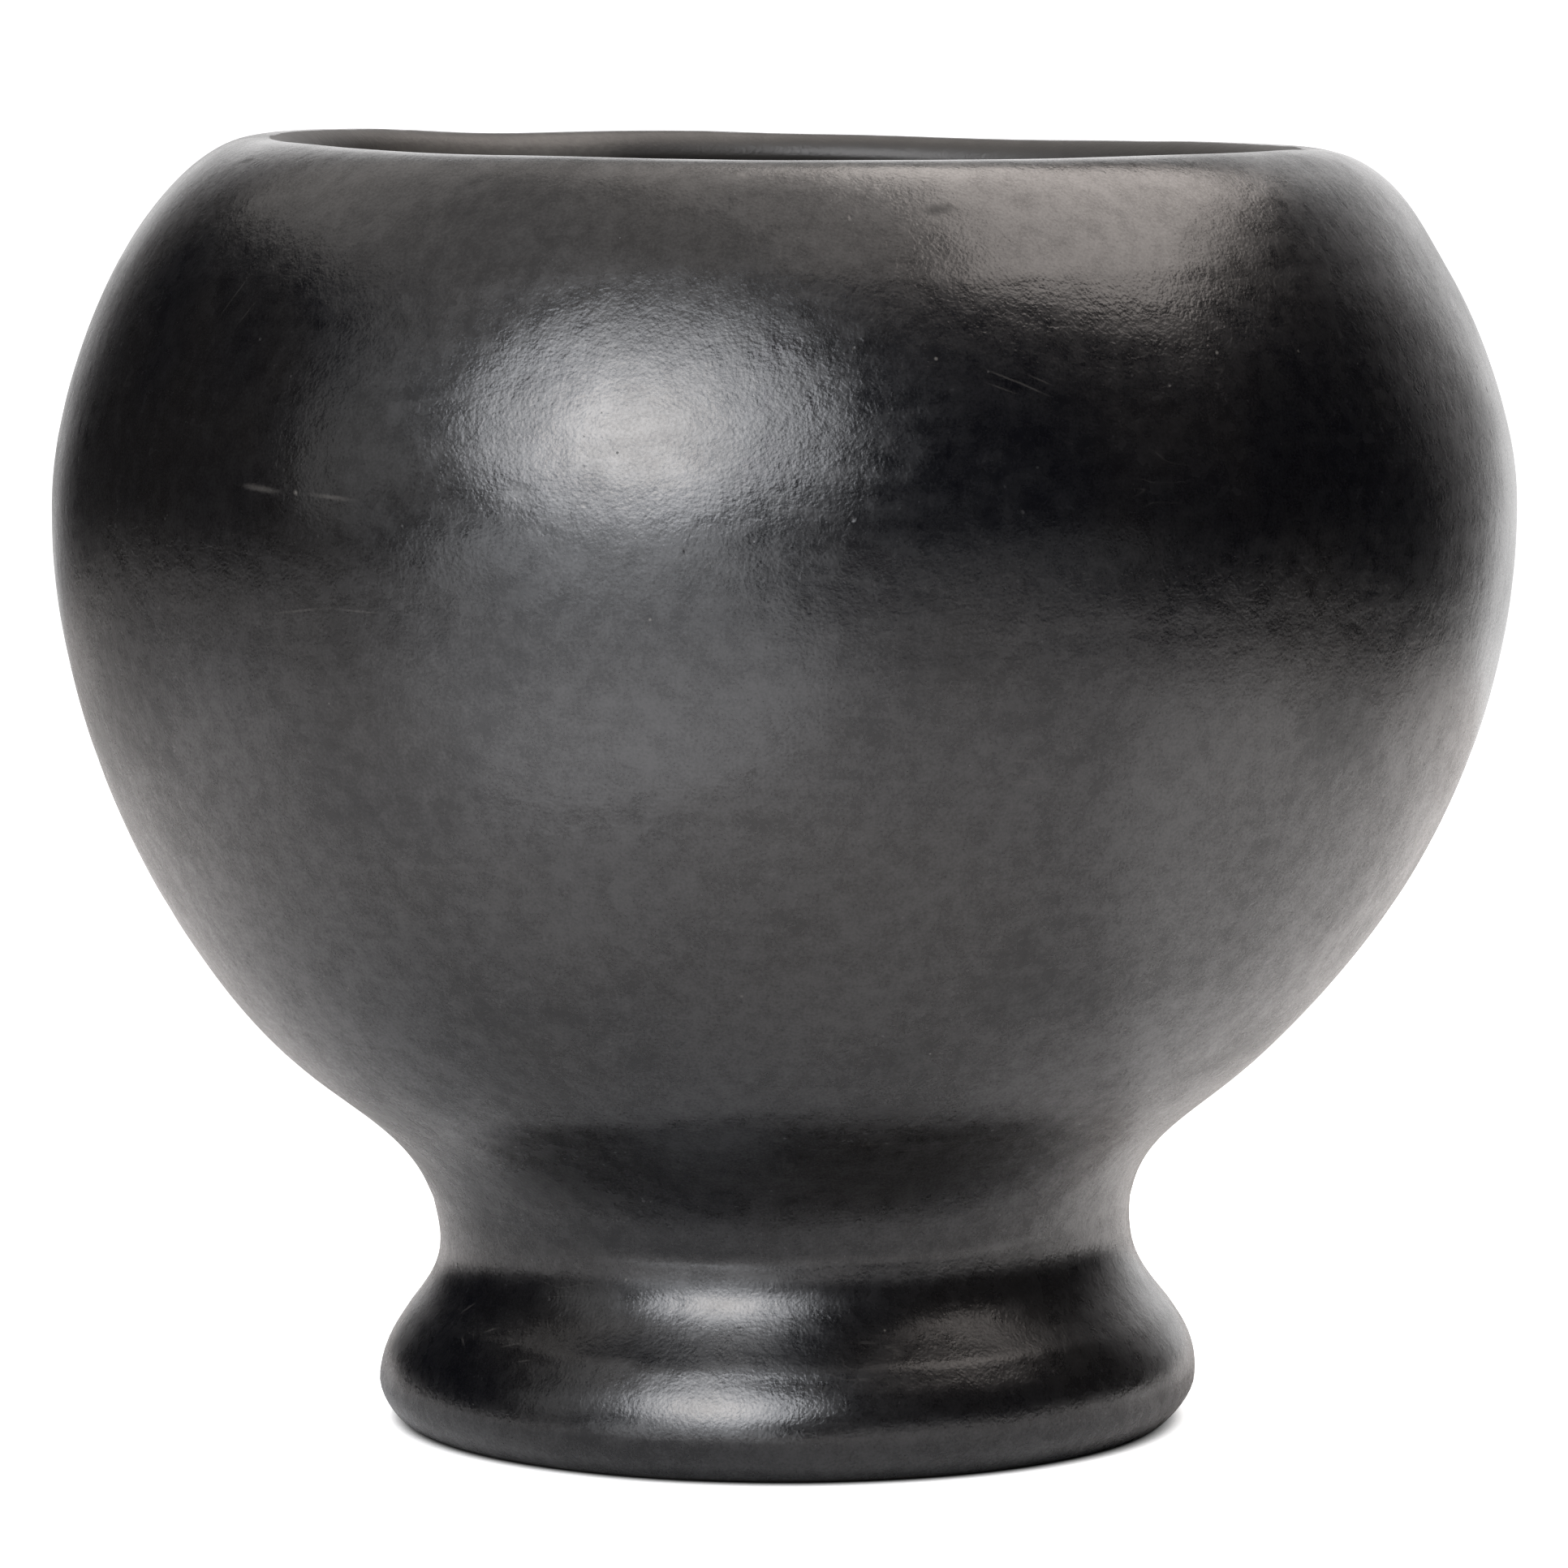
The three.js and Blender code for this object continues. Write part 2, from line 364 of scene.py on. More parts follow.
class Skin:
    """The bowl's whole surface as one profile line, from under the slab over the rim to the floor."""

    def __init__(self, form: BowlForm) -> None:
        """Lay out the profile and mark where the pieces of clay meet on it.

        Args:
            form: Driving sizes of the bowl.
        """
        self.form = form
        corners = Corners(form)
        self.outside = self._outer_face(corners)
        self.inside = self._inner_face(corners)
        wall_outer = self.outside.nearest(corners.collar)
        self.seat = self._slab_seat(corners, wall_outer)
        corner = self.seat.where(0, form.neck_radius - form.neck_wall)
        self.hollow_corner = self.seat.at(corner)
        self.hollow = Path(bend(corners.rest_in, UP, self.hollow_corner, -UP, form.hollow_pulls))
        ceiling_end = corner - form.luting_coil
        wall_foot = self.hollow.length - form.luting_coil
        self.line = Path(
            self.seat.at(np.linspace(0.0, ceiling_end, SEAT_STEPS)),
            self._luting_face(self.seat.at(ceiling_end), self.hollow.at(wall_foot)),
            self.hollow.at(np.linspace(wall_foot, 0.0, CURVE_STEPS)),
            np.linspace(corners.rest_in, corners.rest_out, SHORT_STEPS),
            self.outside.points,
            self.inside.points[::-1],
        )
        rest_outer = self.line.nearest(corners.rest_out)
        crest_at = rest_outer + self.outside.length
        self.marks: dict[str, float] = {
            "start": 0.0,
            "end": self.line.length,
            "luting_start": ceiling_end,
            "luting_end": self.line.nearest(self.hollow.at(wall_foot)),
            "rest_inner": self.line.nearest(corners.rest_in),
            "rest_outer": rest_outer,
            "crest": crest_at,
            "mouth": crest_at + self.inside.length - self.inside.nearest(corners.mouth),
        }
        self._mark_joints(wall_outer)

    def _outer_face(self, corners: Corners) -> Path:
        """The outside, from the resting ring to the crest of the rim.

        Args:
            corners: The profile's points.

        Returns:
            The face as a line.
        """
        form = self.form
        return Path(
            bend(corners.rest_out, OUT, corners.foot_edge, -UP, form.foot_edge_pulls),
            bend(corners.foot_edge, UP, corners.neck, -UP, form.flare_pulls),
            sweep(corners.neck, UP, corners.collar, -corners.lean, form.collar_pulls),
            sweep(corners.collar, corners.lean, corners.belly, -UP, form.bowl_pulls),
            bend(corners.belly, UP, corners.crest, OUT, form.shoulder_pulls),
        )

    def _inner_face(self, corners: Corners) -> Path:
        """The inside, from the middle of the floor to the crest of the rim.

        Args:
            corners: The profile's points.

        Returns:
            The face as a line.
        """
        form = self.form
        return Path(
            sweep(corners.floor, OUT, corners.collar_in, -corners.lean, form.floor_pulls),
            sweep(corners.collar_in, corners.lean, corners.belly_in, -UP, form.inner_bowl_pulls),
            bend(corners.belly_in, UP, corners.mouth, -UP, form.inner_shoulder_pulls),
            bend(corners.mouth, UP, corners.crest, -OUT, form.lip_pulls),
        )

    def _slab_seat(self, corners: Corners, wall_outer: float) -> Path:
        """The underside of the floor slab, from the axis to the slab's edge in the wall.

        Args:
            corners: The profile's points.
            wall_outer: Distance along the outside to the wall's lowest joint.

        Returns:
            The seat as a line.
        """
        wall_inner = self.inside.nearest(corners.collar) + self.form.joint_bevel
        slab_corner = self.inside.at(wall_inner)
        seat_line = self.outside.at(wall_outer) - slab_corner
        edge = slab_corner + seat_line / np.linalg.norm(seat_line) * self.form.slab_edge_thickness
        return Path(sweep(corners.under, OUT, edge, -corners.lean, self.form.seat_pulls))

    def _mark_joints(self, wall_outer: float) -> None:
        """Mark every joint between pieces, from the foot up.

        Args:
            wall_outer: Distance along the outside to the wall's lowest joint.
        """
        form = self.form
        self._mark_hollow_joint("foot", form.foot_edge_height + form.foot_coil_lift)
        self._mark_hollow_joint("collar", form.neck_height + form.collar_joint_lift)
        self._mark_wall_joint("wall", wall_outer)
        lowest = wall_outer + form.lowest_course
        course = (self.outside.length - form.rim_coil - lowest) / form.middle_courses
        for number in range(form.middle_courses + 1):
            self._mark_wall_joint(f"course_{number + 1}", lowest + number * course)

    def _luting_face(self, ceiling_end: Points, wall_foot: Points) -> Points:
        """Sample the bulging face of the luting coil, from the ceiling to the hollow's wall.

        Args:
            ceiling_end: Where the coil meets the ceiling.
            wall_foot: Where it meets the hollow's wall.

        Returns:
            The sampled points, one row each.
        """
        across = (wall_foot - ceiling_end) / np.linalg.norm(wall_foot - ceiling_end)
        bulge = np.array([across[1], -across[0]]) * self.form.luting_bulge * 4 / 3
        return bezier(
            ceiling_end, ceiling_end * 0.7 + wall_foot * 0.3 + bulge,
            ceiling_end * 0.3 + wall_foot * 0.7 + bulge, wall_foot, SHORT_STEPS,
        )

    def _mark_hollow_joint(self, name: str, height: float) -> None:
        """Mark a joint of the foot, from its height on the outside to the hollow.

        Args:
            name: Name of the joint.
            height: Its height on the outside.
        """
        outer = self.outside.where(1, height)
        inner = self.hollow.nearest(self.outside.at(outer)) + self.form.joint_bevel
        self.marks[f"{name}_outer"] = self.marks["rest_outer"] + outer
        self.marks[f"{name}_inner"] = self.marks["rest_inner"] - inner

    def _mark_wall_joint(self, name: str, outer: float) -> None:
        """Mark a joint of the wall, from its place on the outside to the inside of the bowl.

        Args:
            name: Name of the joint.
            outer: Its distance along the outside.
        """
        inner = self.inside.nearest(self.outside.at(outer)) + self.form.joint_bevel
        self.marks[f"{name}_outer"] = self.marks["rest_outer"] + outer
        self.marks[f"{name}_inner"] = self.marks["crest"] + self.inside.length - inner

    def settle(self, points: Points) -> Points:
        """Shift points of the true round form to their places on the hand-built one.

        Args:
            points: Places in space, with x, y and z in the last axis.

        Returns:
            The shifted places.
        """
        form = self.form
        x, y, z = points[..., 0], points[..., 1], points[..., 2]
        foot_middle = form.foot_edge_height + form.foot_coil_lift
        at_waist = bell(z, form.collar_height, form.waist_sway_reach)
        sway = form.foot_sway * bell(z, foot_middle, form.foot_sway_reach)
        sway = sway + form.waist_sway * at_waist
        to_rim = smoothstep(form.belly_height, form.crest_height, z)
        angle = np.arctan2(y, x)
        lift = form.rim_tilt * np.cos(angle - form.rim_high_side)
        lift = lift + form.rim_wave * np.cos(2 * (angle - form.rim_wave_side))
        for dip in form.rim_dips:
            lift = lift - dip.drop(angle)
        near_rim = smoothstep(form.crest_height - form.rim_spread_depth, form.crest_height, z)
        sway = sway + form.rim_spread * near_rim * bell(angle, 0.0, form.rim_spread_turn)
        back = form.waist_sway_front * at_waist
        back = back + form.neck_sway_back * bell(z, form.neck_sway_height, form.neck_sway_reach)
        return np.stack([x + sway + form.rim_sway * to_rim, y + back, z + lift * to_rim], axis=-1)


class Seed(IntEnum):
    """Which noise pattern each uneven feature of the clay takes."""

    LUMP = 3
    DENT = 5
    STROKE = 11
    FINE_STROKE = 13
    JOINT = 21
    JOINT_STRENGTH = 23
    CREASE = 31
    FOOT_RIDGE = 41
    SHOULDER_RIDGE = 47


@dataclass(frozen=True)
class Wander:
    """An uneven drift round the bowl: its patches to a radian, its row in the pattern and its size."""

    patches: float
    row: float
    seed: int
    size: float = 1.0

    def at(self, angle: Points) -> Points:
        """The drift by the angle round the axis."""
        return ring_noise(angle, self.patches, np.array([self.row]), self.seed)[0] * self.size


def ring_noise(angle: Points, cells: float, rows: Points, seed: int) -> Points:
    """Noise that closes on itself round the axis.

    Args:
        angle: Angles round the axis, one for each column.
        cells: How many cells of the pattern lie on a radian.
        rows: Place in the pattern of each row, or of each row and column.
        seed: Chooses the pattern.

    Returns:
        One value from -1 to 1 for each row and column.
    """
    grid = np.empty((len(rows), len(angle), 3))
    grid[..., :2] = np.stack([np.cos(angle), np.sin(angle)], axis=-1) * cells + RING_SHIFT
    grid[..., 2] = rows[:, None] if rows.ndim == 1 else rows
    return value_noise(grid.reshape(-1, 3), seed).reshape(len(rows), len(angle))


@dataclass(frozen=True)
class HandRelief:
    """The uneven surface that building, scraping and burnishing by hand leave on the clay."""

    lump_depth: float = 0.2 * MM
    lump_size: float = 34 * MM
    dent_depth: float = 0.09 * MM
    dent_size: float = 13 * MM
    stroke_depth: float = 0.004 * MM
    stroke_length: float = 26 * MM
    stroke_width: float = 4.2 * MM
    stroke_slant: float = 0.18
    stroke_slant_turn: float = 0.7
    fine_stroke_share: float = 0.5
    fine_stroke_shorter: float = 1.9
    fine_stroke_narrower: float = 1.8
    joint_depth: float = 0.05 * MM
    joint_width: float = 1.6 * MM
    joint_wander: float = 1.5 * MM
    joint_wander_patches: float = 3.1
    joint_strength_patches: float = 2.3
    joint_strength_rows: float = 3.7
    joint_even_share: float = 0.45
    crease_depth: float = 0.28 * MM
    crease_width: float = 0.7 * MM
    crease_climb: float = 1.75 * MM
    crease_spread: float = math.radians(56)
    crease_climb_end: float = 1.6
    crease_bank: float = 0.5
    crease_bank_widths: float = 4.0
    crease_fade: float = 1.3
    crease_least: float = 0.35
    crease_wander: Wander = Wander(5.0, 6.1, Seed.CREASE, 0.3 * MM)
    ridge_height: float = 0.22 * MM
    ridge_above: float = 3.0 * MM
    ridge_below: float = 1.0 * MM
    ridge_round: float = 0.25 * MM
    ridge_spread: float = math.radians(62)
    ridge_least: float = 0.4
    ridge_wander: Wander = Wander(4.6, 1.3, Seed.FOOT_RIDGE, 0.55 * MM)
    shoulder_ridge_height: float = 0.2 * MM
    shoulder_ridge_reach: float = 6 * MM
    shoulder_ridge_side: float = math.radians(16)
    shoulder_ridge_spread: float = math.radians(34)
    shoulder_ridge_least: float = 0.3
    shoulder_ridge_wander: Wander = Wander(3.3, 2.2, Seed.SHOULDER_RIDGE, 0.7 * MM)
    lip_flat_depth: float = 0.38 * MM
    lip_flat_width: float = 2.5 * MM
    lip_flat_side: float = math.radians(-12)
    lip_flat_spread: float = math.radians(75)
    lip_flat_least: float = 0.3
    thumb_depth: float = 0.1 * MM
    thumb_side: float = math.radians(-40.5)
    thumb_height: float = 103.5 * MM
    thumb_half_length: float = 8.5 * MM
    thumb_half_width: float = 4.6 * MM
    front: float = math.radians(-90)
    rest_fade: float = 3 * MM

    def height(self, skin: Skin, distance: Points, angle: Points) -> Points:
        """How far the clay stands out from the even form.

        Args:
            skin: The surface that is shaped.
            distance: Distances along the profile, one for each row.
            angle: Angles round the axis, one for each column.

        Returns:
            One height for each row and column.
        """
        base = skin.line.at(distance)
        radius, level = base[:, :1], base[:, 1:]
        shape = (len(distance), len(angle))
        place = np.stack(
            [radius * np.cos(angle), radius * np.sin(angle), np.broadcast_to(level, shape)], axis=-1
        ).reshape(-1, 3)
        lump = self.lump_depth * value_noise(place / self.lump_size, Seed.LUMP)
        lump += self.dent_depth * value_noise(place / self.dent_size, Seed.DENT)
        relief = lump.reshape(shape) + self._strokes(distance, radius, angle)
        for feature in (
            self._joint_lines, self._neck_crease, self._foot_ridge,
            self._shoulder_ridge, self._lip_flat, self._thumb_dent,
        ):
            relief += feature(skin, distance, angle)
        rest = skin.marks["rest_inner"] - self.rest_fade, skin.marks["rest_outer"] + self.rest_fade
        off_rest = 1 - smoothstep(rest[0], rest[0] + self.rest_fade, distance)
        off_rest += smoothstep(rest[1] - self.rest_fade, rest[1], distance)
        return relief * off_rest[:, None]

    def _from_front(self, angle: Points) -> Points:
        """Angle from the front of the bowl, from -pi to pi."""
        return wrapped(angle - self.front)

    def _strokes(self, distance: Points, radius: Points, angle: Points) -> Points:
        """Shallow facets of the burnishing pebble, long round the bowl and narrow across.

        Args:
            distance: Distances along the profile, one for each row.
            radius: Radius of each row.
            angle: Angles round the axis, one for each column.

        Returns:
            One height for each row and column.
        """
        cells = float(np.mean(radius)) / self.stroke_length
        slant = np.sin(angle * 2 + self.stroke_slant_turn) * self.stroke_slant * self.stroke_length
        rows = (distance[:, None] + slant[None, :]) / self.stroke_width
        coarse = ring_noise(angle, cells, rows, Seed.STROKE)
        fine = ring_noise(
            angle, cells * self.fine_stroke_shorter, rows * self.fine_stroke_narrower, Seed.FINE_STROKE
        )
        return self.stroke_depth * (coarse + self.fine_stroke_share * fine)

    def _joint_lines(self, skin: Skin, distance: Points, angle: Points) -> Points:
        """Faint hollows where the coils of the wall were joined and rubbed over.

        Args:
            skin: The surface that is shaped.
            distance: Distances along the profile, one for each row.
            angle: Angles round the axis, one for each column.

        Returns:
            One height for each row and column.
        """
        total = np.zeros((len(distance), len(angle)))
        even = self.joint_even_share
        for number, name in enumerate(sorted(skin.marks)):
            if not name.endswith(("_outer", "_inner")) or name.startswith("rest"):
                continue
            at = skin.marks[name]
            wander = Wander(self.joint_wander_patches, at / MM, Seed.JOINT + number, self.joint_wander)
            line = bell(distance[:, None] - at, wander.at(angle)[None, :], self.joint_width)
            row = number * self.joint_strength_rows
            strength = Wander(self.joint_strength_patches, row, Seed.JOINT_STRENGTH).at(angle)
            total -= self.joint_depth * line * (even + (1 - even) * strength[None, :])
        return total

    def _neck_crease(self, skin: Skin, distance: Points, angle: Points) -> Points:
        """The crease of the luted joint above the neck: lowest on the front and gone at the sides.

        Args:
            skin: The surface that is shaped.
            distance: Distances along the profile, one for each row.
            angle: Angles round the axis, one for each column.

        Returns:
            One height for each row and column.
        """
        turn = self._from_front(angle)
        climb = self.crease_climb * (turn / self.crease_spread) ** 2
        climb = climb * bell(turn, 0.0, self.crease_climb_end)
        drift = self.crease_wander.at(angle)
        above = distance[:, None] - skin.marks["collar_outer"] - (climb + drift)[None, :]
        bank = bell(above, 0.0, self.crease_bank_widths * self.crease_width)
        groove = np.exp(-np.abs(above) / self.crease_width) - self.crease_bank * bank
        strength = plateau(turn, self.crease_fade * self.crease_spread, self.crease_least)
        return -self.crease_depth * groove * strength[None, :]

    def _from_ridge(self, above: Points) -> Points:
        """Distance from a ridge whose top is slightly rounded."""
        return np.sqrt(above**2 + self.ridge_round**2) - self.ridge_round

    def _foot_ridge(self, skin: Skin, distance: Points, angle: Points) -> Points:
        """The low ridge where the foot coil was lapped up over the course above it.

        Args:
            skin: The surface that is shaped.
            distance: Distances along the profile, one for each row.
            angle: Angles round the axis, one for each column.

        Returns:
            One height for each row and column.
        """
        above = distance[:, None] - skin.marks["foot_outer"] - self.ridge_wander.at(angle)[None, :]
        side = np.where(above > 0, self.ridge_above, self.ridge_below)
        strength = plateau(self._from_front(angle), self.ridge_spread, self.ridge_least)
        return self.ridge_height * np.exp(-self._from_ridge(above) / side) * strength[None, :]

    def _shoulder_ridge(self, skin: Skin, distance: Points, angle: Points) -> Points:
        """The soft edge of the last scraped band below the rim, clearest right of the front.

        Args:
            skin: The surface that is shaped.
            distance: Distances along the profile, one for each row.
            angle: Angles round the axis, one for each column.

        Returns:
            One height for each row and column.
        """
        drift = self.shoulder_ridge_wander.at(angle)
        above = distance[:, None] - skin.marks["course_5_outer"] - drift[None, :]
        fall = np.exp(-self._from_ridge(above) / self.shoulder_ridge_reach)
        turn = self._from_front(angle) - self.shoulder_ridge_side
        strength = plateau(turn, self.shoulder_ridge_spread, self.shoulder_ridge_least)
        return self.shoulder_ridge_height * fall * strength[None, :]

    def _lip_flat(self, skin: Skin, distance: Points, angle: Points) -> Points:
        """The flat that wiping leaves along the lip's crest, broadest at the front.

        Args:
            skin: The surface that is shaped.
            distance: Distances along the profile, one for each row.
            angle: Angles round the axis, one for each column.

        Returns:
            One height for each row and column.
        """
        across = bell(distance[:, None], skin.marks["crest"], self.lip_flat_width)
        turn = self._from_front(angle) - self.lip_flat_side
        strength = plateau(turn, self.lip_flat_spread, self.lip_flat_least)
        return -self.lip_flat_depth * across * strength[None, :]

    def _thumb_dent(self, skin: Skin, distance: Points, angle: Points) -> Points:
        """The shallow hollow that a thumb left on the belly, left of the front.

        Args:
            skin: The surface that is shaped.
            distance: Distances along the profile, one for each row.
            angle: Angles round the axis, one for each column.

        Returns:
            One height for each row and column.
        """
        at = skin.outside.at(skin.outside.where(1, self.thumb_height))
        aside = float(at[0]) * (self._from_front(angle) - self.thumb_side)
        along = bell(aside, 0.0, self.thumb_half_length)
        across = bell(distance, skin.line.nearest(at), self.thumb_half_width)
        return -self.thumb_depth * across[:, None] * along[None, :]


@dataclass(frozen=True)
class Handling:
    """Where the burnishing pebble and later hands have been on the clay."""

    rest_bare: float = 2.5 * MM
    lip_start: float = 0.4 * MM
    lip_end: float = 1.2 * MM
    lip_polish: float = 0.3
    floor_polish: float = 0.2
    inside_reach: float = 1.5 * MM
    lip_wear_reach: float = 2.6 * MM
    foot_wear_reach: float = 2.2 * MM
    foot_wear: float = 0.4


@dataclass(frozen=True)
class Fineness:
    """How closely the surface is divided."""

    around: int = 720
    outside_step: float = 0.8 * MM
    inside_step: float = 1.2 * MM
    lip_step: float = 0.35 * MM
    lip_reach: float = 3.5 * MM
    least_rows: int = 3
    joint_rows: int = 3
    joint_recess: float = 0.15 * MM


class ClaySurface:
    """Makes the closed mesh of one piece of clay from stretches of the bowl's skin."""

    def __init__(self, skin: Skin, relief: HandRelief, handling: Handling, fineness: Fineness) -> None:
        """Keep the skin, its relief, its handling and how finely to divide it.

        Args:
            skin: The bowl's profile and its marks.
            relief: The uneven surface.
            handling: Where the clay is polished and rubbed.
            fineness: How closely the surface is divided.
        """
        self.skin = skin
        self.relief = relief
        self.handling = handling
        self.fineness = fineness
        self.angle = np.arange(fineness.around) * 2 * math.pi / fineness.around

    def _spun(self, base: Points, lift: Points) -> Points:
        """Turn profile points round the axis and settle them.

        Args:
            base: Radius and height of each row.
            lift: Shift of radius and height, for each row and column.

        Returns:
            Places in space, for each row and column.
        """
        radius = base[:, None, 0] + lift[..., 0]
        level = base[:, None, 1] + lift[..., 1]
        places = [radius * np.cos(self.angle), radius * np.sin(self.angle), level]
        return self.skin.settle(np.stack(places, axis=-1))

    def _skin_rows(self, distance: Points) -> Points:
        """Places of the uneven surface at distances along the profile.

        Args:
            distance: Distances along the profile, one for each row.

        Returns:
            Places in space, for each row and column.
        """
        base = self.skin.line.at(distance)
        normal = self.skin.line.normal(distance)
        height = self.relief.height(self.skin, distance, self.angle)
        on_axis = (base[:, 0] < ON_AXIS)[:, None]
        height = np.where(on_axis, height[:, :1], height)
        normal = np.where(on_axis, np.sign(normal) * UP, normal)
        return self._spun(base, height[..., None] * normal[:, None, :])

    def _stations(self, start: float, end: float) -> Points:
        """Distances of the rows between two places of the skin, close together along the lip.

        Args:
            start: Distance of the first row.
            end: Distance of the last row.

        Returns:
            The distances, in order.
        """
        fine = self.fineness
        marks = self.skin.marks
        lip = (marks["crest"] - fine.lip_reach, marks["mouth"] + fine.lip_reach)
        cuts = [start, *(at for at in lip if start < at < end), end]
        parts = []
        for low, high in zip(cuts, cuts[1:]):
            middle = (low + high) / 2
            step = fine.outside_step if marks["rest_inner"] <= middle <= lip[0] else fine.inside_step
            if lip[0] < middle < lip[1]:
                step = fine.lip_step
            count = max(fine.least_rows, int(round((high - low) / step)))
            parts.append(np.linspace(low, high, count + 1)[:-1])
        return np.concatenate([*parts, [end]])

    def stretch(self, start: float, end: float) -> tuple[Points, Points, Points]:
        """Rows of the skin between two distances, with the directions of the surface there.

        Args:
            start: Distance of the first row.
            end: Distance of the last row.

        Returns:
            Places, unit normals and the distance of each row.
        """
        marks = self.skin.marks
        distance = self._stations(start, end)
        before = 2 * distance[0] - distance[1]
        beyond = 2 * distance[-1] - distance[-2]
        wide = np.clip(np.concatenate([[before], distance, [beyond]]), 0.0, self.skin.line.length)
        places = self._skin_rows(wide)
        along = places[2:] - places[:-2]
        round_axis = np.roll(places, -1, axis=1)[1:-1] - np.roll(places, 1, axis=1)[1:-1]
        normal = np.cross(round_axis, along)
        size_of = np.linalg.norm(normal, axis=-1, keepdims=True)
        flat = np.array([0.0, 0.0, 1.0 if end > marks["crest"] else -1.0])
        normal = np.where(size_of > NO_SIZE, normal / np.maximum(size_of, NO_SIZE), flat)
        return places[1:-1], normal, distance

    def joint(self, start: Points, end: Points, middle: Points, via: Points | None = None) -> Points:
        """Rows of the hidden face of a joint, set back a little into the piece.

        Args:
            start: Places of the last row before the joint.
            end: Places of the first row after it.
            middle: Radius and height of the middle of the piece.
            via: Profile points that the joint passes through, if it isn't straight.

        Returns:
            Places in space, for each row and column.
        """
        if via is not None:
            inward = middle - via
            inward /= np.linalg.norm(inward, axis=1, keepdims=True)
            base = via + inward * self.fineness.joint_recess
            return self._spun(base, np.zeros((len(base), len(self.angle), 2)))
        share = np.linspace(0, 1, self.fineness.joint_rows + 2)[1:-1, None, None]
        rows = start[None] * (1 - share) + end[None] * share
        radius, level = middle[0], np.full_like(self.angle, middle[1])
        centre = np.stack([radius * np.cos(self.angle), radius * np.sin(self.angle), level], axis=-1)
        inward = centre[None] - rows
        inward /= np.linalg.norm(inward, axis=-1, keepdims=True)
        return rows + inward * self.fineness.joint_recess

    def mesh(self, name: str, runs: list[tuple[float, float]], vias: dict[int, Points]) -> bpy.types.Mesh:
        """Build a piece's closed mesh.

        Args:
            name: Name of the mesh.
            runs: Stretches of the skin that the piece shows, in order along the profile.
            vias: Profile points of a joint that isn't straight, by the number of the run before it.

        Returns:
            The mesh, with its surface normals and its attributes.
        """
        shown = [self.stretch(start, end) for start, end in runs]
        marks = np.concatenate([self.skin.line.at(distance) for _, _, distance in shown])
        middle = marks.mean(axis=0)
        rows: list[Points] = []
        normals: list[Points] = []
        group: list[int] = []
        reach: list[float] = []
        for number, (places, normal, distance) in enumerate(shown):
            after = shown[(number + 1) % len(shown)]
            rows.extend(places)
            normals.extend(normal)
            group.extend([number] * len(places))
            reach.extend(distance)
            closes_on_axis = self.skin.line.at(distance[-1:])[0, 0] < ON_AXIS
            if closes_on_axis:
                continue
            hidden = self.joint(places[-1], after[0][0], middle, vias.get(number))
            rows.extend(hidden)
            normals.extend(np.zeros_like(hidden))
            group.extend([-1] * len(hidden))
            reach.extend([distance[-1]] * len(hidden))
        return self._weave(name, rows, normals, group, reach)

    def _weave(
        self, name: str, rows: list[Points], normals: list[Points], group: list[int], reach: list[float]
    ) -> bpy.types.Mesh:
        """Join rows of places into faces, from each row to the next and from the last to the first.

        Args:
            name: Name of the mesh.
            rows: Places of each row.
            normals: Surface directions of each row.
            group: Number of the run that each row shows, or -1 in a joint.
            reach: Distance of each row along the profile.

        Returns:
            The mesh, with its normals and attributes.
        """
        count = len(self.angle)
        places: list[Points] = []
        vertex_normal: list[Points] = []
        first: list[int] = []
        pole: list[bool] = []
        distance: list[float] = []
        total = 0
        for row, normal, at in zip(rows, normals, reach):
            single = bool(np.ptp(row, axis=0).max() < SAME_PLACE)
            kept = row[:1] if single else row
            places.append(kept)
            vertex_normal.append(normal[:1] if single else normal)
            first.append(total)
            pole.append(single)
            distance.extend([at] * len(kept))
            total += len(kept)
        column = np.arange(count)
        after = (column + 1) % count
        faces: list[list[int]] = []
        shown: list[bool] = []
        for index in range(len(rows)):
            other = (index + 1) % len(rows)
            if pole[index] and pole[other]:
                continue
            low, high = first[index], first[other]
            if pole[index]:
                block = np.stack([np.full(count, low), high + after, high + column], axis=1)
            elif pole[other]:
                block = np.stack([low + column, low + after, np.full(count, high)], axis=1)
            else:
                block = np.stack([low + column, low + after, high + after, high + column], axis=1)
            faces.extend(block.tolist())
            shown.extend([group[index] >= 0 and group[index] == group[other]] * count)
        mesh = bpy.data.meshes.new(name)
        mesh.from_pydata(np.concatenate(places).tolist(), [], faces)
        mesh.polygons.foreach_set("use_smooth", np.ones(len(faces), dtype=bool))
        mesh.update()
        self._store(mesh, np.concatenate(vertex_normal), np.array(shown), np.array(distance))
        return mesh

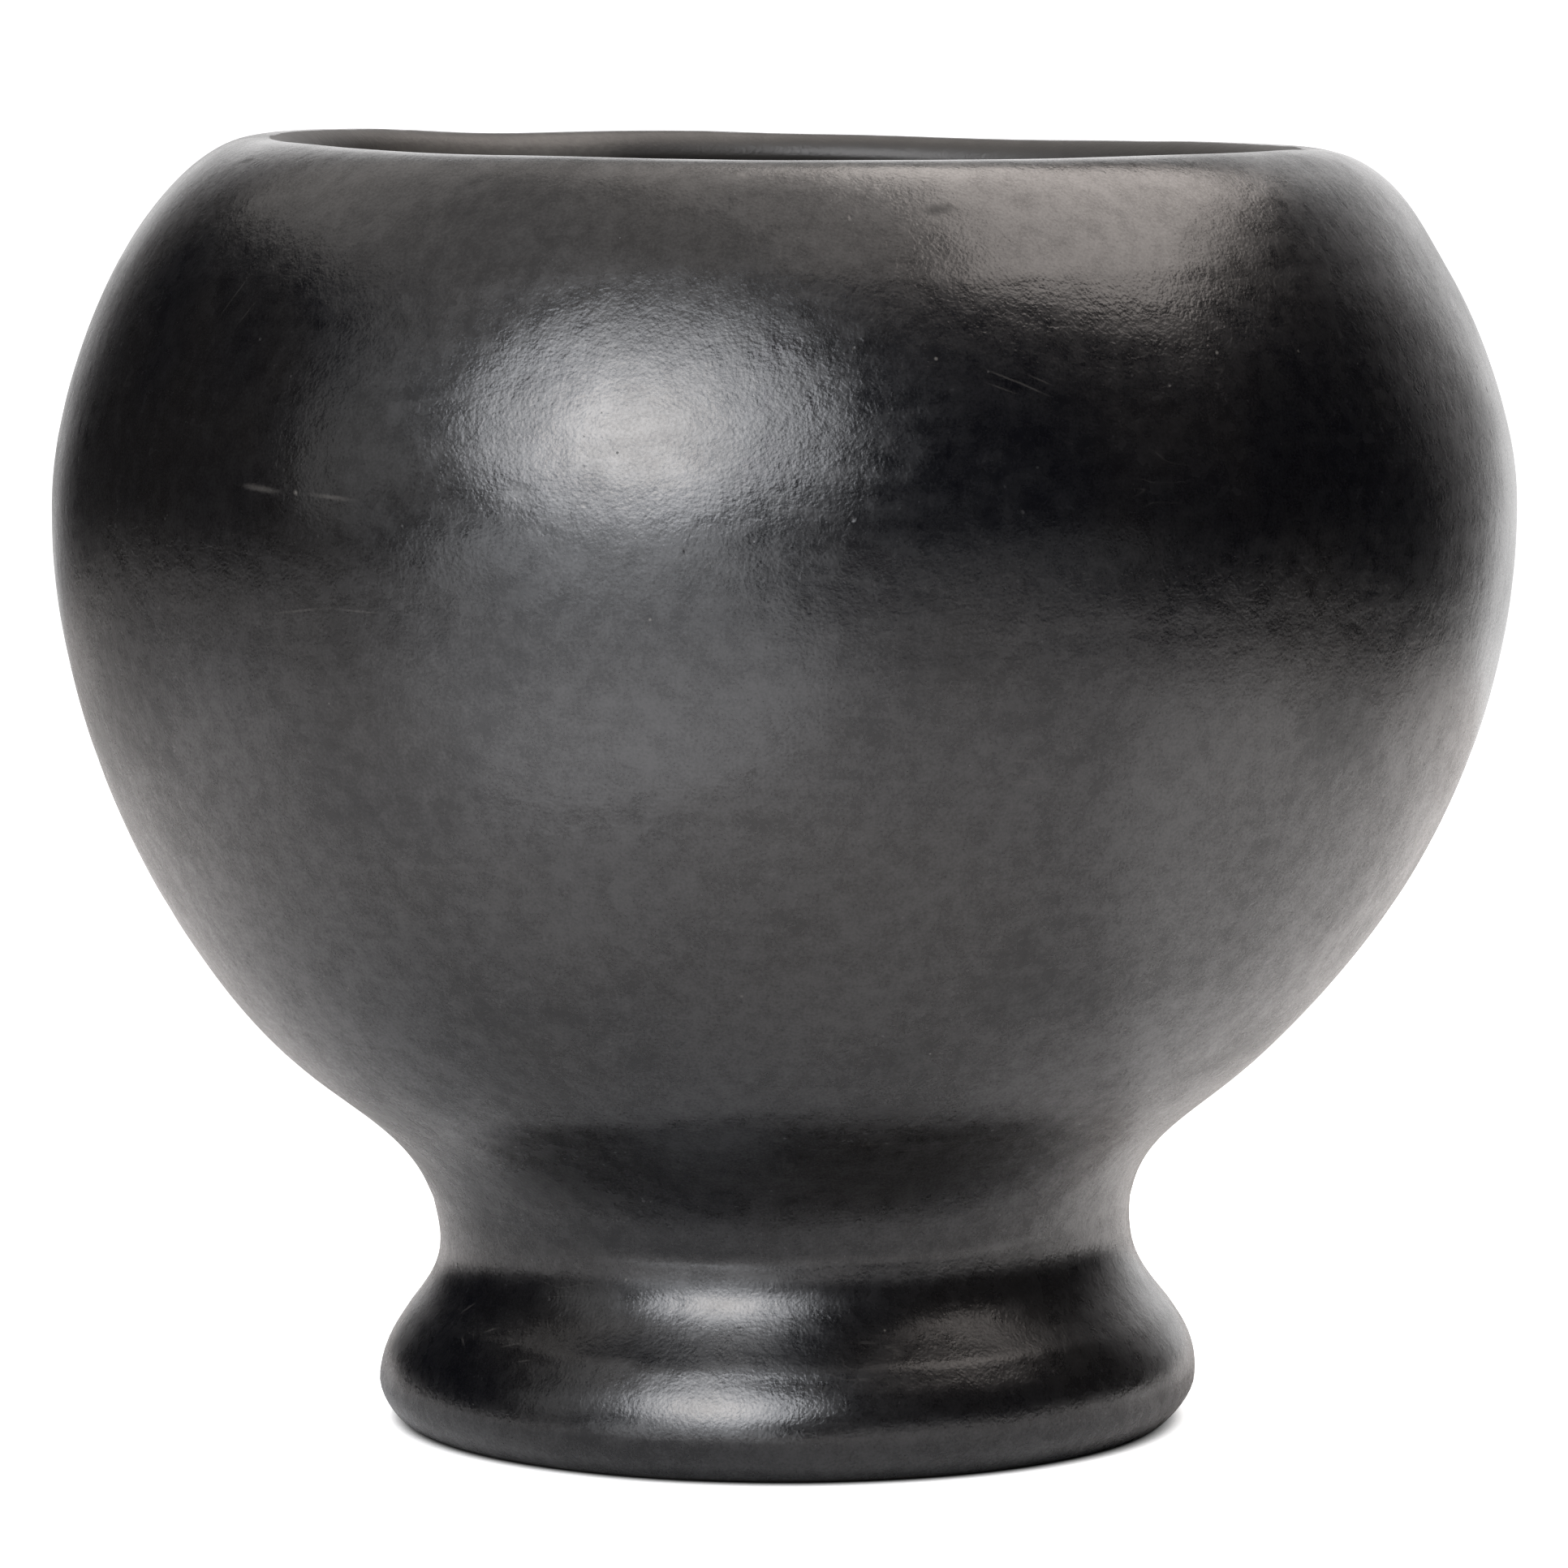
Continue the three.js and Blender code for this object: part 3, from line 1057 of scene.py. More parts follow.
    def _store(self, mesh: bpy.types.Mesh, normal: Points, shown: Points, distance: Points) -> None:
        """Write the mesh's normals, and how polished and how worn the clay is at each point.

        Args:
            mesh: The mesh to write to.
            normal: Surface direction at each point.
            shown: Whether each face is part of the skin.
            distance: Distance of each point along the profile.
        """
        loops = len(mesh.loops)
        vertex = np.empty(loops, dtype=np.int32)
        mesh.loops.foreach_get("vertex_index", vertex)
        sizes = np.empty(len(mesh.polygons), dtype=np.int32)
        mesh.polygons.foreach_get("loop_total", sizes)
        flat = np.empty(len(mesh.polygons) * 3)
        mesh.polygons.foreach_get("normal", flat)
        flat = np.repeat(flat.reshape(-1, 3), sizes, axis=0)
        chosen = np.where(np.repeat(shown, sizes)[:, None], normal[vertex], flat)
        mesh.normals_split_custom_set(chosen)
        for measure in (self.polish, self.wear, self.inside):
            attribute = mesh.attributes.new(measure.__name__, "FLOAT", "POINT")
            attribute.data.foreach_set("value", measure(distance).astype(np.float32))

    def polish(self, distance: Points) -> Points:
        """How burnished the clay is: 1 outside, and less inside and where the foot rests.

        Args:
            distance: Distances along the profile.

        Returns:
            One share for each distance.
        """
        marks = self.skin.marks
        use = self.handling
        rest, crest = marks["rest_outer"], marks["crest"]
        lip = [crest - use.lip_start, crest + use.lip_end]
        stations = [0.0, rest, rest + use.rest_bare, *lip, marks["end"]]
        return np.interp(distance, stations, [0.0, 0.0, 1.0, 1.0, use.lip_polish, use.floor_polish])

    def inside(self, distance: Points) -> Points:
        """Which side of the lip's crest the clay is on: 0 outside, and 1 inside the bowl."""
        crest = self.skin.marks["crest"]
        return smoothstep(crest, crest + self.handling.inside_reach, distance)

    def wear(self, distance: Points) -> Points:
        """How much handling has rubbed the clay: most on the lip and on the foot's lower edge.

        Args:
            distance: Distances along the profile.

        Returns:
            One share for each distance.
        """
        marks = self.skin.marks
        lip = bell(distance, marks["crest"], self.handling.lip_wear_reach)
        foot = bell(distance, marks["rest_outer"], self.handling.foot_wear_reach)
        return np.maximum(lip, self.handling.foot_wear * foot)


class NodeBook:
    """A short hand for laying nodes in a material or a node group."""

    def __init__(self, tree: bpy.types.NodeTree) -> None:
        """Work in the given tree."""
        self.tree = tree

    def node(self, kind: str, **settings: object) -> bpy.types.Node:
        """Add a node and set its properties.

        Args:
            kind: Blender's name of the node type.
            settings: Properties of the node.

        Returns:
            The new node.
        """
        made = self.tree.nodes.new(kind)
        for key, value in settings.items():
            setattr(made, key, value)
        return made

    def put(self, socket: Socket, value: object) -> None:
        """Link a socket to another, or set its plain value.

        Args:
            socket: The socket to fill.
            value: Another socket, or a plain value.
        """
        if isinstance(value, bpy.types.NodeSocket):
            self.tree.links.new(value, socket)
        else:
            socket.default_value = value

    def math(self, operation: str, first: object, second: object = 0.0, third: object = 0.0) -> Socket:
        """Work out a number from others.

        Args:
            operation: Blender's name of the operation.
            first: First number.
            second: Second number.
            third: Third number, where the operation takes one.

        Returns:
            The result.
        """
        made = self.node("ShaderNodeMath", operation=operation)
        for socket, value in zip(made.inputs, (first, second, third)):
            self.put(socket, value)
        return made.outputs[0]

    def vector(self, operation: str, first: object, second: object = None) -> Socket:
        """Work out a vector, or for a length or dot product a number.

        Args:
            operation: Blender's name of the operation.
            first: First vector.
            second: Second vector or factor, where the operation takes one.

        Returns:
            The result.
        """
        made = self.node("ShaderNodeVectorMath", operation=operation)
        self.put(made.inputs[0], first)
        if second is not None:
            self.put(made.inputs[3 if operation == "SCALE" else 1], second)
        return made.outputs[1 if operation in ("LENGTH", "DOT_PRODUCT", "DISTANCE") else 0]

    def add(self, value: object, times: object, base: object) -> Socket:
        """Add a number, times a factor, to a base."""
        return self.math("MULTIPLY_ADD", value, times, base)

    def times(self, first: object, second: object) -> Socket:
        """Multiply two numbers."""
        return self.math("MULTIPLY", first, second)

    def per(self, size: object) -> Socket:
        """How many of a size go into a metre."""
        return self.math("DIVIDE", 1.0, size)

    def centred(self, share: object) -> Socket:
        """Shift a number from 0 to 1 so that its middle is 0."""
        return self.math("SUBTRACT", share, 0.5)

    def attribute(self, name: str) -> Socket:
        """A number that the mesh holds at each point."""
        return self.node("ShaderNodeAttribute", attribute_name=name).outputs["Fac"]

    def parts(self, place: Socket) -> bpy.types.bpy_prop_collection:
        """The three numbers of a vector.

        Args:
            place: The vector.

        Returns:
            The sockets of X, Y and Z.
        """
        made = self.node("ShaderNodeSeparateXYZ")
        self.put(made.inputs[0], place)
        return made.outputs

    def ramp(
        self, value: object, low: float, high: float, out_low: float = 0.0, out_high: float = 1.0
    ) -> Socket:
        """Ease a number from one range to another, without passing its ends.

        Args:
            value: The number.
            low: Start of its range.
            high: End of its range.
            out_low: Result at the start.
            out_high: Result at the end.

        Returns:
            The result.
        """
        made = self.node("ShaderNodeMapRange", interpolation_type="SMOOTHSTEP")
        for socket, part in zip(made.inputs, (value, low, high, out_low, out_high)):
            self.put(socket, part)
        return made.outputs[0]

    def noise(self, place: Socket, scale: object, detail: float = 2.0, rough: float = 0.5) -> Socket:
        """Smooth noise from 0 to 1.

        Args:
            place: Where it is taken.
            scale: Patches to a metre.
            detail: How many finer layers are added.
            rough: How strongly the finer layers count.

        Returns:
            The noise.
        """
        made = self.node("ShaderNodeTexNoise")
        self.put(made.inputs["Vector"], place)
        self.put(made.inputs["Scale"], scale)
        self.put(made.inputs["Detail"], detail)
        self.put(made.inputs["Roughness"], rough)
        return made.outputs["Fac"]

    def mix(self, share: object, first: object, second: object) -> Socket:
        """Mix two colours.

        Args:
            share: Share of the second one.
            first: First colour.
            second: Second colour.

        Returns:
            The mixed colour.
        """
        made = self.node("ShaderNodeMix", data_type="RGBA")
        self.put(made.inputs[0], share)
        self.put(made.inputs[6], first)
        self.put(made.inputs[7], second)
        return made.outputs[2]

    def blend(self, share: object, first: object, second: object) -> Socket:
        """Mix two numbers.

        Args:
            share: Share of the second one.
            first: First number.
            second: Second number.

        Returns:
            The mixed number.
        """
        made = self.node("ShaderNodeMix", data_type="FLOAT")
        self.put(made.inputs[0], share)
        self.put(made.inputs[2], first)
        self.put(made.inputs[3], second)
        return made.outputs[0]

    def combine(self, x: object, y: object, z: object) -> Socket:
        """Make a vector of three numbers.

        Args:
            x: First number.
            y: Second number.
            z: Third number.

        Returns:
            The vector.
        """
        made = self.node("ShaderNodeCombineXYZ")
        for socket, value in zip(made.inputs, (x, y, z)):
            self.put(socket, value)
        return made.outputs[0]


class MarkKind(Enum):
    """What a mark does to the clay."""

    # Pale scuffs, and one painted reflection made as a pale scuff
    SCUFF = "Scuff"
    SMUDGE = "Smudge"
    CUT = "Cut"


@dataclass(frozen=True)
class Mark:
    """One mark on the outside of the bowl.

    Its side is in degrees from the front, right positive, and its tilt in degrees, right end up.
    Its height, length and width are in millimetres, and so is its inset from the outer face.
    """

    kind: MarkKind
    side: float
    height: float
    length: float
    width: float
    tilt: float = 0.0
    strength: float = 1.0
    inset: float = 0.0


SCUFF, SMUDGE, CUT = MarkKind.SCUFF, MarkKind.SMUDGE, MarkKind.CUT

MARKS = (
    Mark(SCUFF, -42.3, 119.9, 7.2, 0.95, -4, 0.55),
    Mark(SCUFF, -35.3, 119.4, 7.4, 0.7, -4, 0.5),
    Mark(SCUFF, -38.7, 119.7, 0.8, 0.7, 0, 1.0),
    Mark(SCUFF, -38.5, 106.1, 9.6, 0.4, 7, 0.35),
    Mark(SCUFF, -32.8, 106.5, 8.8, 0.36, -2, 0.3),
    Mark(SCUFF, 17.0, 133.6, 7.0, 0.3, -22, 0.35),
    Mark(SCUFF, 18.6, 132.6, 6.0, 0.3, -24, 0.4),
    Mark(SCUFF, 16.6, 132.4, 4.5, 0.26, -20, 0.28),
    Mark(SCUFF, 19.8, 133.2, 4.2, 0.26, -24, 0.3),
    Mark(SCUFF, -3.9, 156.1, 2.0, 0.9, -20, 0.9),
    # Painted reflection of the right panel: a broad pale patch on the far inner lip, not a scuff
    Mark(SCUFF, -140.0, 154.5, 66.0, 8.0, 0, 1.9, 12.5),
    Mark(SCUFF, -60.0, 16.9, 3.6, 0.3, 35, 0.5),
    Mark(SCUFF, -51.0, 15.3, 2.8, 0.25, 20, 0.5),
    Mark(SCUFF, -45.0, 14.2, 3.4, 0.22, 15, 0.45),
    Mark(SCUFF, -56.0, 13.6, 2.2, 0.35, -30, 0.4),
    Mark(SCUFF, -41.0, 12.8, 2.4, 0.22, 10, 0.4),
    Mark(SCUFF, -35.1, 32.3, 3.6, 0.28, -12, 0.5),
    Mark(SCUFF, -32.5, 31.5, 2.6, 0.22, -10, 0.35),
    Mark(SCUFF, 11.5, 41.9, 9.0, 0.3, 1, 0.35),
    Mark(SCUFF, 20.4, 41.6, 11.0, 0.26, 2, 0.4),
    Mark(SCUFF, 29.5, 41.2, 9.0, 0.3, 3, 0.35),
    Mark(SCUFF, 16.0, 40.8, 7.0, 0.22, 1, 0.3),
    Mark(SCUFF, -50.9, 141.5, 7.0, 0.25, 62, 0.3),
    Mark(SCUFF, -48.5, 139.5, 5.0, 0.22, 58, 0.25),
    Mark(SMUDGE, 13.5, 152.2, 4.8, 1.7, 6, 0.8),
    Mark(SMUDGE, -65.0, 156.5, 4.0, 1.0, 8, 0.6),
    Mark(SMUDGE, -13.7, 100.9, 2.2, 3.2, 20, 0.35),
    Mark(SMUDGE, -19.8, 78.2, 6.0, 3.0, 10, 0.3),
    Mark(SMUDGE, -24.1, 68.6, 3.4, 2.2, -15, 0.35),
    Mark(CUT, 5.8, 151.4, 0.8, 0.7, 0, 0.8),
    Mark(CUT, 4.9, 118.0, 0.9, 0.7, 20, 0.5),
    Mark(CUT, -7.1, 114.4, 0.6, 1.1, 15, 0.5),
    Mark(CUT, -14.6, 119.5, 0.9, 0.7, 0, 0.4),
    Mark(CUT, -19.6, 120.9, 3.2, 2.4, -10, 0.4),
    Mark(CUT, 75.0, 128.8, 1.3, 1.0, 0, 0.8),
    Mark(CUT, 74.0, 131.6, 1.0, 0.8, 0, 0.7),
    Mark(CUT, 38.2, 72.7, 1.1, 0.5, 10, 0.7),
    Mark(CUT, 44.0, 70.5, 1.6, 0.5, 20, 0.7),
    Mark(CUT, 50.0, 68.9, 1.3, 0.5, -10, 0.7),
    Mark(CUT, 57.2, 67.3, 1.4, 0.6, 15, 0.7),
    Mark(CUT, -52.5, 41.8, 0.5, 2.4, 25, 1.0),
    Mark(CUT, -51.2, 41.3, 0.45, 1.9, 25, 1.0),
    Mark(CUT, -50.0, 40.7, 0.45, 1.7, 20, 0.9),
    Mark(CUT, 60.1, 27.5, 0.5, 1.8, -15, 1.0),
)


class Effect(Enum):
    """The clay's shared surface effects, each a node group."""

    GRAIN = "Clay grain"
    STROKES = "Burnishing strokes"
    CLOUDS = "Fire clouds"
    SPECKS = "Specks and pits"
    MARKS = "Marks of use"


@dataclass(frozen=True)
class Dots:
    """A scatter of dots in the clay: which sockets it uses, its shift in the pattern and its size."""

    name: str
    spacing: str
    shift: float
    size: float


@dataclass(frozen=True)
class EffectSizes:
    """Sizes and strengths inside the shared effects; scales are patches to a metre."""

    middle_grain: float = 0.42
    large_grain: float = 0.14
    middle_height: float = 1.1
    large_height: float = 4.0
    mottle_grain: float = 1.2
    mottle_shift: tuple[float, float, float] = (0.23, 0.61, 0.37)
    stroke_wander: float = 9 * MM
    stroke_wander_scale: float = 26.0
    stroke_fold: float = 0.55
    stroke_least_radius: float = 1 * MM
    smoke_shift: tuple[float, float, float] = (0.31, 0.17, 0.53)
    smoke_finer: float = 1.7
    mottle_finer: float = 17.0
    warm_range: tuple[float, float] = (0.4, 0.66)
    smoke_range: tuple[float, float] = (0.34, 0.7)
    specks: Dots = Dots("Speck", "Spacing", 0.0, 1.3)
    speck_chance: float = 0.5
    pits: Dots = Dots("Pit", "Pit Spacing", 0.41, 1.2)
    pit_crowd_scale: float = 85.0
    pit_crowd: tuple[float, float] = (0.4, 0.65)
    pit_chance: tuple[float, float] = (0.97, 0.6)
    dot_shift: tuple[float, float, float] = (1.0, 0.7, 1.9)
    dot_edge: tuple[float, float] = (1.3, 0.2)
    scratch_scale: tuple[float, float, float] = (90.0, 90.0, 420.0)
    scratch_width: float = 0.012
    scratch_patch_scale: float = 60.0
    scratch_patch: tuple[float, float] = (0.64, 0.72)
    mark_rag_scale: float = 1100.0
    mark_rag: float = 0.6
    mark_depth: float = 4 * MM
    mark_edge: tuple[float, float] = (1.5, 0.35)


class EffectShelf:
    """Builds each shared effect once and places it in materials."""

    def __init__(self, skin: Skin, sizes: EffectSizes) -> None:
        """Build every effect for a bowl with the given skin.

        Args:
            skin: The bowl's profile.
            sizes: Sizes and strengths inside the effects.
        """
        self.sizes = sizes
        self.groups = {
            Effect.GRAIN: self._grain(),
            Effect.STROKES: self._strokes(),
            Effect.CLOUDS: self._clouds(),
            Effect.SPECKS: self._specks(),
            Effect.MARKS: self._marks(skin),
        }

    def place(self, book: NodeBook, effect: Effect, at: Socket) -> bpy.types.Node:
        """Put an effect into a material.

        Args:
            book: The material's nodes.
            effect: Which effect.
            at: The place on the bowl.

        Returns:
            The group's node.
        """
        made = book.node("ShaderNodeGroup", node_tree=self.groups[effect])
        book.put(made.inputs["Place"], at)
        return made

    @staticmethod
    def _start(
        effect: Effect, inputs: dict[str, float], outputs: list[str]
    ) -> tuple[NodeBook, bpy.types.Node, bpy.types.Node]:
        """Make an empty group with named sockets.

        Args:
            effect: Which effect the group is for.
            inputs: First value of each input, by name.
            outputs: Names of the outputs.

        Returns:
            The group's nodes, its input node and its output node.
        """
        number = "NodeSocketFloat"
        tree = bpy.data.node_groups.new(effect.value, "ShaderNodeTree")
        tree.interface.new_socket("Place", in_out="INPUT", socket_type="NodeSocketVector")
        for name, value in inputs.items():
            tree.interface.new_socket(name, in_out="INPUT", socket_type=number).default_value = value
        for name in outputs:
            tree.interface.new_socket(name, in_out="OUTPUT", socket_type=number)
        book = NodeBook(tree)
        return book, book.node("NodeGroupInput"), book.node("NodeGroupOutput")

    def _grain(self) -> bpy.types.NodeTree:
        """Fine dimples of the clay body in three sizes, and a fine mottle.

        Returns:
            The node group.
        """
        sizes = self.sizes
        book, given, result = self._start(
            Effect.GRAIN, {"Grain Size": 0.5 * MM, "Coarseness": 0.5}, ["Height", "Mottle"]
        )
        place = given.outputs["Place"]
        fine = book.per(given.outputs["Grain Size"])
        small = book.noise(place, fine, 1.0)
        middle = book.noise(place, book.times(fine, sizes.middle_grain))
        large = book.noise(place, book.times(fine, sizes.large_grain))
        rough = book.add(middle, sizes.middle_height, small)
        coarse = book.times(large, sizes.large_height)
        moved = book.vector("ADD", place, sizes.mottle_shift)
        speckle = book.noise(moved, book.times(fine, sizes.mottle_grain), 2.0, 0.6)
        book.put(result.inputs["Mottle"], book.centred(speckle))
        book.put(result.inputs["Height"], book.add(coarse, given.outputs["Coarseness"], rough))
        return book.tree

    def _strokes(self) -> bpy.types.NodeTree:
        """Streaks of the burnishing pebble, long round the bowl and narrow across.

        Returns:
            The node group.
        """
        sizes = self.sizes
        book, given, result = self._start(
            Effect.STROKES, {"Length": 30 * MM, "Width": 1.2 * MM}, ["Streak"]
        )
        place = given.outputs["Place"]
        x, y, z = book.parts(place)
        flat = book.combine(x, y, 0.0)
        reach = book.math("MAXIMUM", book.vector("LENGTH", flat), sizes.stroke_least_radius)
        wander = book.noise(place, sizes.stroke_wander_scale, 1.0)
        height = book.add(wander, sizes.stroke_wander, z)
        folded = book.math("ADD", height, book.times(reach, sizes.stroke_fold))
        rise = book.times(folded, book.per(given.outputs["Width"]))
        along = book.vector("SCALE", flat, book.per(given.outputs["Length"]))
        streaks = book.vector("ADD", along, book.combine(0.0, 0.0, rise))
        book.put(result.inputs["Streak"], book.noise(streaks, 1.0, 1.0))
        return book.tree

    def _clouds(self) -> bpy.types.NodeTree:
        """Slow drift of colour and gloss that the smoke of the firing leaves.

        Returns:
            The node group.
        """
        sizes = self.sizes
        book, given, result = self._start(
            Effect.CLOUDS, {"Cloud Size": 45 * MM}, ["Warmth", "Smoke", "Mottle"]
        )
        scale = book.per(given.outputs["Cloud Size"])
        warm = book.noise(given.outputs["Place"], scale, 3.0, 0.55)
        moved = book.vector("ADD", given.outputs["Place"], sizes.smoke_shift)
        smoke = book.noise(moved, book.times(scale, sizes.smoke_finer), 4.0, 0.6)
        fine = book.noise(moved, book.times(scale, sizes.mottle_finer), 3.0, 0.6)
        book.put(result.inputs["Mottle"], book.centred(fine))
        book.put(result.inputs["Warmth"], book.ramp(warm, *sizes.warm_range))
        book.put(result.inputs["Smoke"], book.ramp(smoke, *sizes.smoke_range))
        return book.tree

    def _specks(self) -> bpy.types.NodeTree:
        """Sparse pale specks of temper, dark pits and hair-fine scratches.

        Returns:
            The node group.
        """
        sizes = self.sizes
        book, given, result = self._start(
            Effect.SPECKS,
            {"Spacing": 4.6 * MM, "Speck Size": 0.2 * MM, "Pit Spacing": 1.9 * MM},
            ["Speck", "Pit", "Scratch"],
        )
        place = given.outputs["Place"]
        crowd = book.noise(place, sizes.pit_crowd_scale)
        pit_chance = book.ramp(crowd, *sizes.pit_crowd, *sizes.pit_chance)
        for dots, chance in ((sizes.specks, sizes.speck_chance), (sizes.pits, pit_chance)):
            book.put(result.inputs[dots.name], self._scatter(book, given, dots, chance))
        thread = book.noise(book.vector("MULTIPLY", place, sizes.scratch_scale), 1.0, 1.0)
        level = book.math("ABSOLUTE", book.centred(thread))
        where = book.ramp(book.noise(place, sizes.scratch_patch_scale, 1.0), *sizes.scratch_patch)
        book.put(result.inputs["Scratch"], book.times(book.ramp(level, sizes.scratch_width, 0.0), where))
        return book.tree

    def _scatter(self, book: NodeBook, given: bpy.types.Node, dots: Dots, chance: object) -> Socket:
        """Scatter soft dots of uneven size.

        Args:
            book: The group's nodes.
            given: The group's input node.
            dots: Which dots.
            chance: The share of places that stay empty.

        Returns:
            1 in a dot and 0 between dots.
        """
        scale = book.per(given.outputs[dots.spacing])
        size = book.times(given.outputs["Speck Size"], scale)
        shift = tuple(dots.shift * part for part in self.sizes.dot_shift)
        cells = book.node("ShaderNodeTexVoronoi")
        book.put(cells.inputs["Vector"], book.vector("ADD", given.outputs["Place"], shift))
        book.put(cells.inputs["Scale"], scale)
        draws = book.node("ShaderNodeSeparateColor")
        book.put(draws.inputs[0], cells.outputs["Color"])
        reach = book.times(size, book.times(draws.outputs[1], dots.size))
        near = book.ramp(book.math("DIVIDE", cells.outputs["Distance"], reach), *self.sizes.dot_edge)
        return book.times(near, book.math("GREATER_THAN", draws.outputs[0], chance))

    def _marks(self, skin: Skin) -> bpy.types.NodeTree:
        """The bowl's own scuffs, smudges and cuts, each a soft patch at its place on the outside, and a
        painted reflection on the far inner lip made as a pale scuff.

        Args:
            skin: The bowl's profile.

        Returns:
            The node group.
        """
        sizes = self.sizes
        book, given, result = self._start(Effect.MARKS, {}, [kind.value for kind in MarkKind])
        ragged = book.noise(given.outputs["Place"], sizes.mark_rag_scale)
        totals: dict[MarkKind, object] = {}
        for mark in MARKS:
            level = mark.height * MM
            radius = float(skin.outside.at(skin.outside.where(1, level))[0]) - mark.inset * MM
            side = math.radians(mark.side)
            patch = book.node("ShaderNodeMapping", vector_type="TEXTURE")
            book.put(patch.inputs["Vector"], given.outputs["Place"])
            book.put(patch.inputs["Location"], (radius * math.sin(side), -radius * math.cos(side), level))
            book.put(patch.inputs["Rotation"], (0.0, -math.radians(mark.tilt), side))
            half = (mark.length * MM / 2, sizes.mark_depth, mark.width * MM / 2)
            book.put(patch.inputs["Scale"], half)
            away = book.add(ragged, sizes.mark_rag, book.vector("LENGTH", patch.outputs[0]))
            there = book.ramp(away, *sizes.mark_edge, 0.0, mark.strength)
            totals[mark.kind] = book.math("MAXIMUM", there, totals.get(mark.kind, 0.0))
        for kind, total in totals.items():
            book.put(result.inputs[kind.value], total)
        return book.tree


Colour = tuple[float, float, float, float]


@dataclass(frozen=True)
class ClayFinish:
    """How one kind of clay surface looks."""

    name: str
    black: Colour = (0.0008, 0.0009, 0.002, 1.0)
    brown: Colour = (0.0048, 0.0042, 0.0042, 1.0)
    soot: Colour = (0.0016, 0.0015, 0.0015, 1.0)
    bare: Colour = (0.019, 0.0145, 0.011, 1.0)
    wiped: Colour = (0.042, 0.039, 0.036, 1.0)
    pale: Colour = (0.14, 0.132, 0.122, 1.0)
    dust: Colour = (0.115, 0.118, 0.135, 1.0)
    ragged_scale: float = 210.0
    ragged_share: float = 0.5
    burnish_edge: tuple[float, float] = (0.42, 0.56)
    soot_share: float = 0.3
    cloud_dust: float = 0.08
    grain_dust: float = 0.06
    dust_full: float = 0.05
    dust_share: float = 0.02
    rub_edge: tuple[float, float] = (0.35, 0.75)
    rub_share: float = 0.22
    speck_share: float = 0.75
    scratch_share: float = 0.1
    scuff_and_reflection_share: float = 0.5
    burnished_roughness: float = 0.245
    bare_roughness: float = 0.48
    smoke_roughness: float = 0.1
    streak_roughness: float = 0.06
    mottle_roughness: float = 0.16
    pit_roughness: float = 0.25
    smudge_roughness: float = 0.35
    cut_roughness: float = 0.15
    flare_roughness: float = 0.03
    flare_head: tuple[float, float] = (30 * MM, 22 * MM)
    flare_foot: tuple[float, float] = (7 * MM, 11 * MM)
    grain_size: float = 0.4 * MM
    grain_depth: float = 0.032 * MM
    bare_grain_depth: float = 0.034 * MM
    stroke_depth: float = 0.002 * MM
    pit_depth: float = 0.03 * MM
    cut_depth: float = 0.08 * MM
    refraction: float = 1.64
    film: float = 0.5
    film_grain: float = 1.1
    film_mottle: float = 1.1
    film_streak: float = 0.2
    film_smoke: float = -0.3
    film_roughness: float = 0.31


BURNISHED = ClayFinish("burnished_clay")
WIPED = ClayFinish("wiped_clay")
DRY = ClayFinish("dry_clay", bare=(0.017, 0.0135, 0.0112, 1.0), bare_roughness=0.8)


@dataclass(frozen=True)
class ClayInputs:
    """What a clay material is mixed from: its place, the mesh's numbers and the shared effects."""

    place: Socket
    inside: Socket
    wear: Socket
    ragged: Socket
    burnish: Socket
    effects: dict[Effect, bpy.types.Node]

    def of(self, effect: Effect, name: str) -> Socket:
        """An effect's output by name."""
        return self.effects[effect].outputs[name]


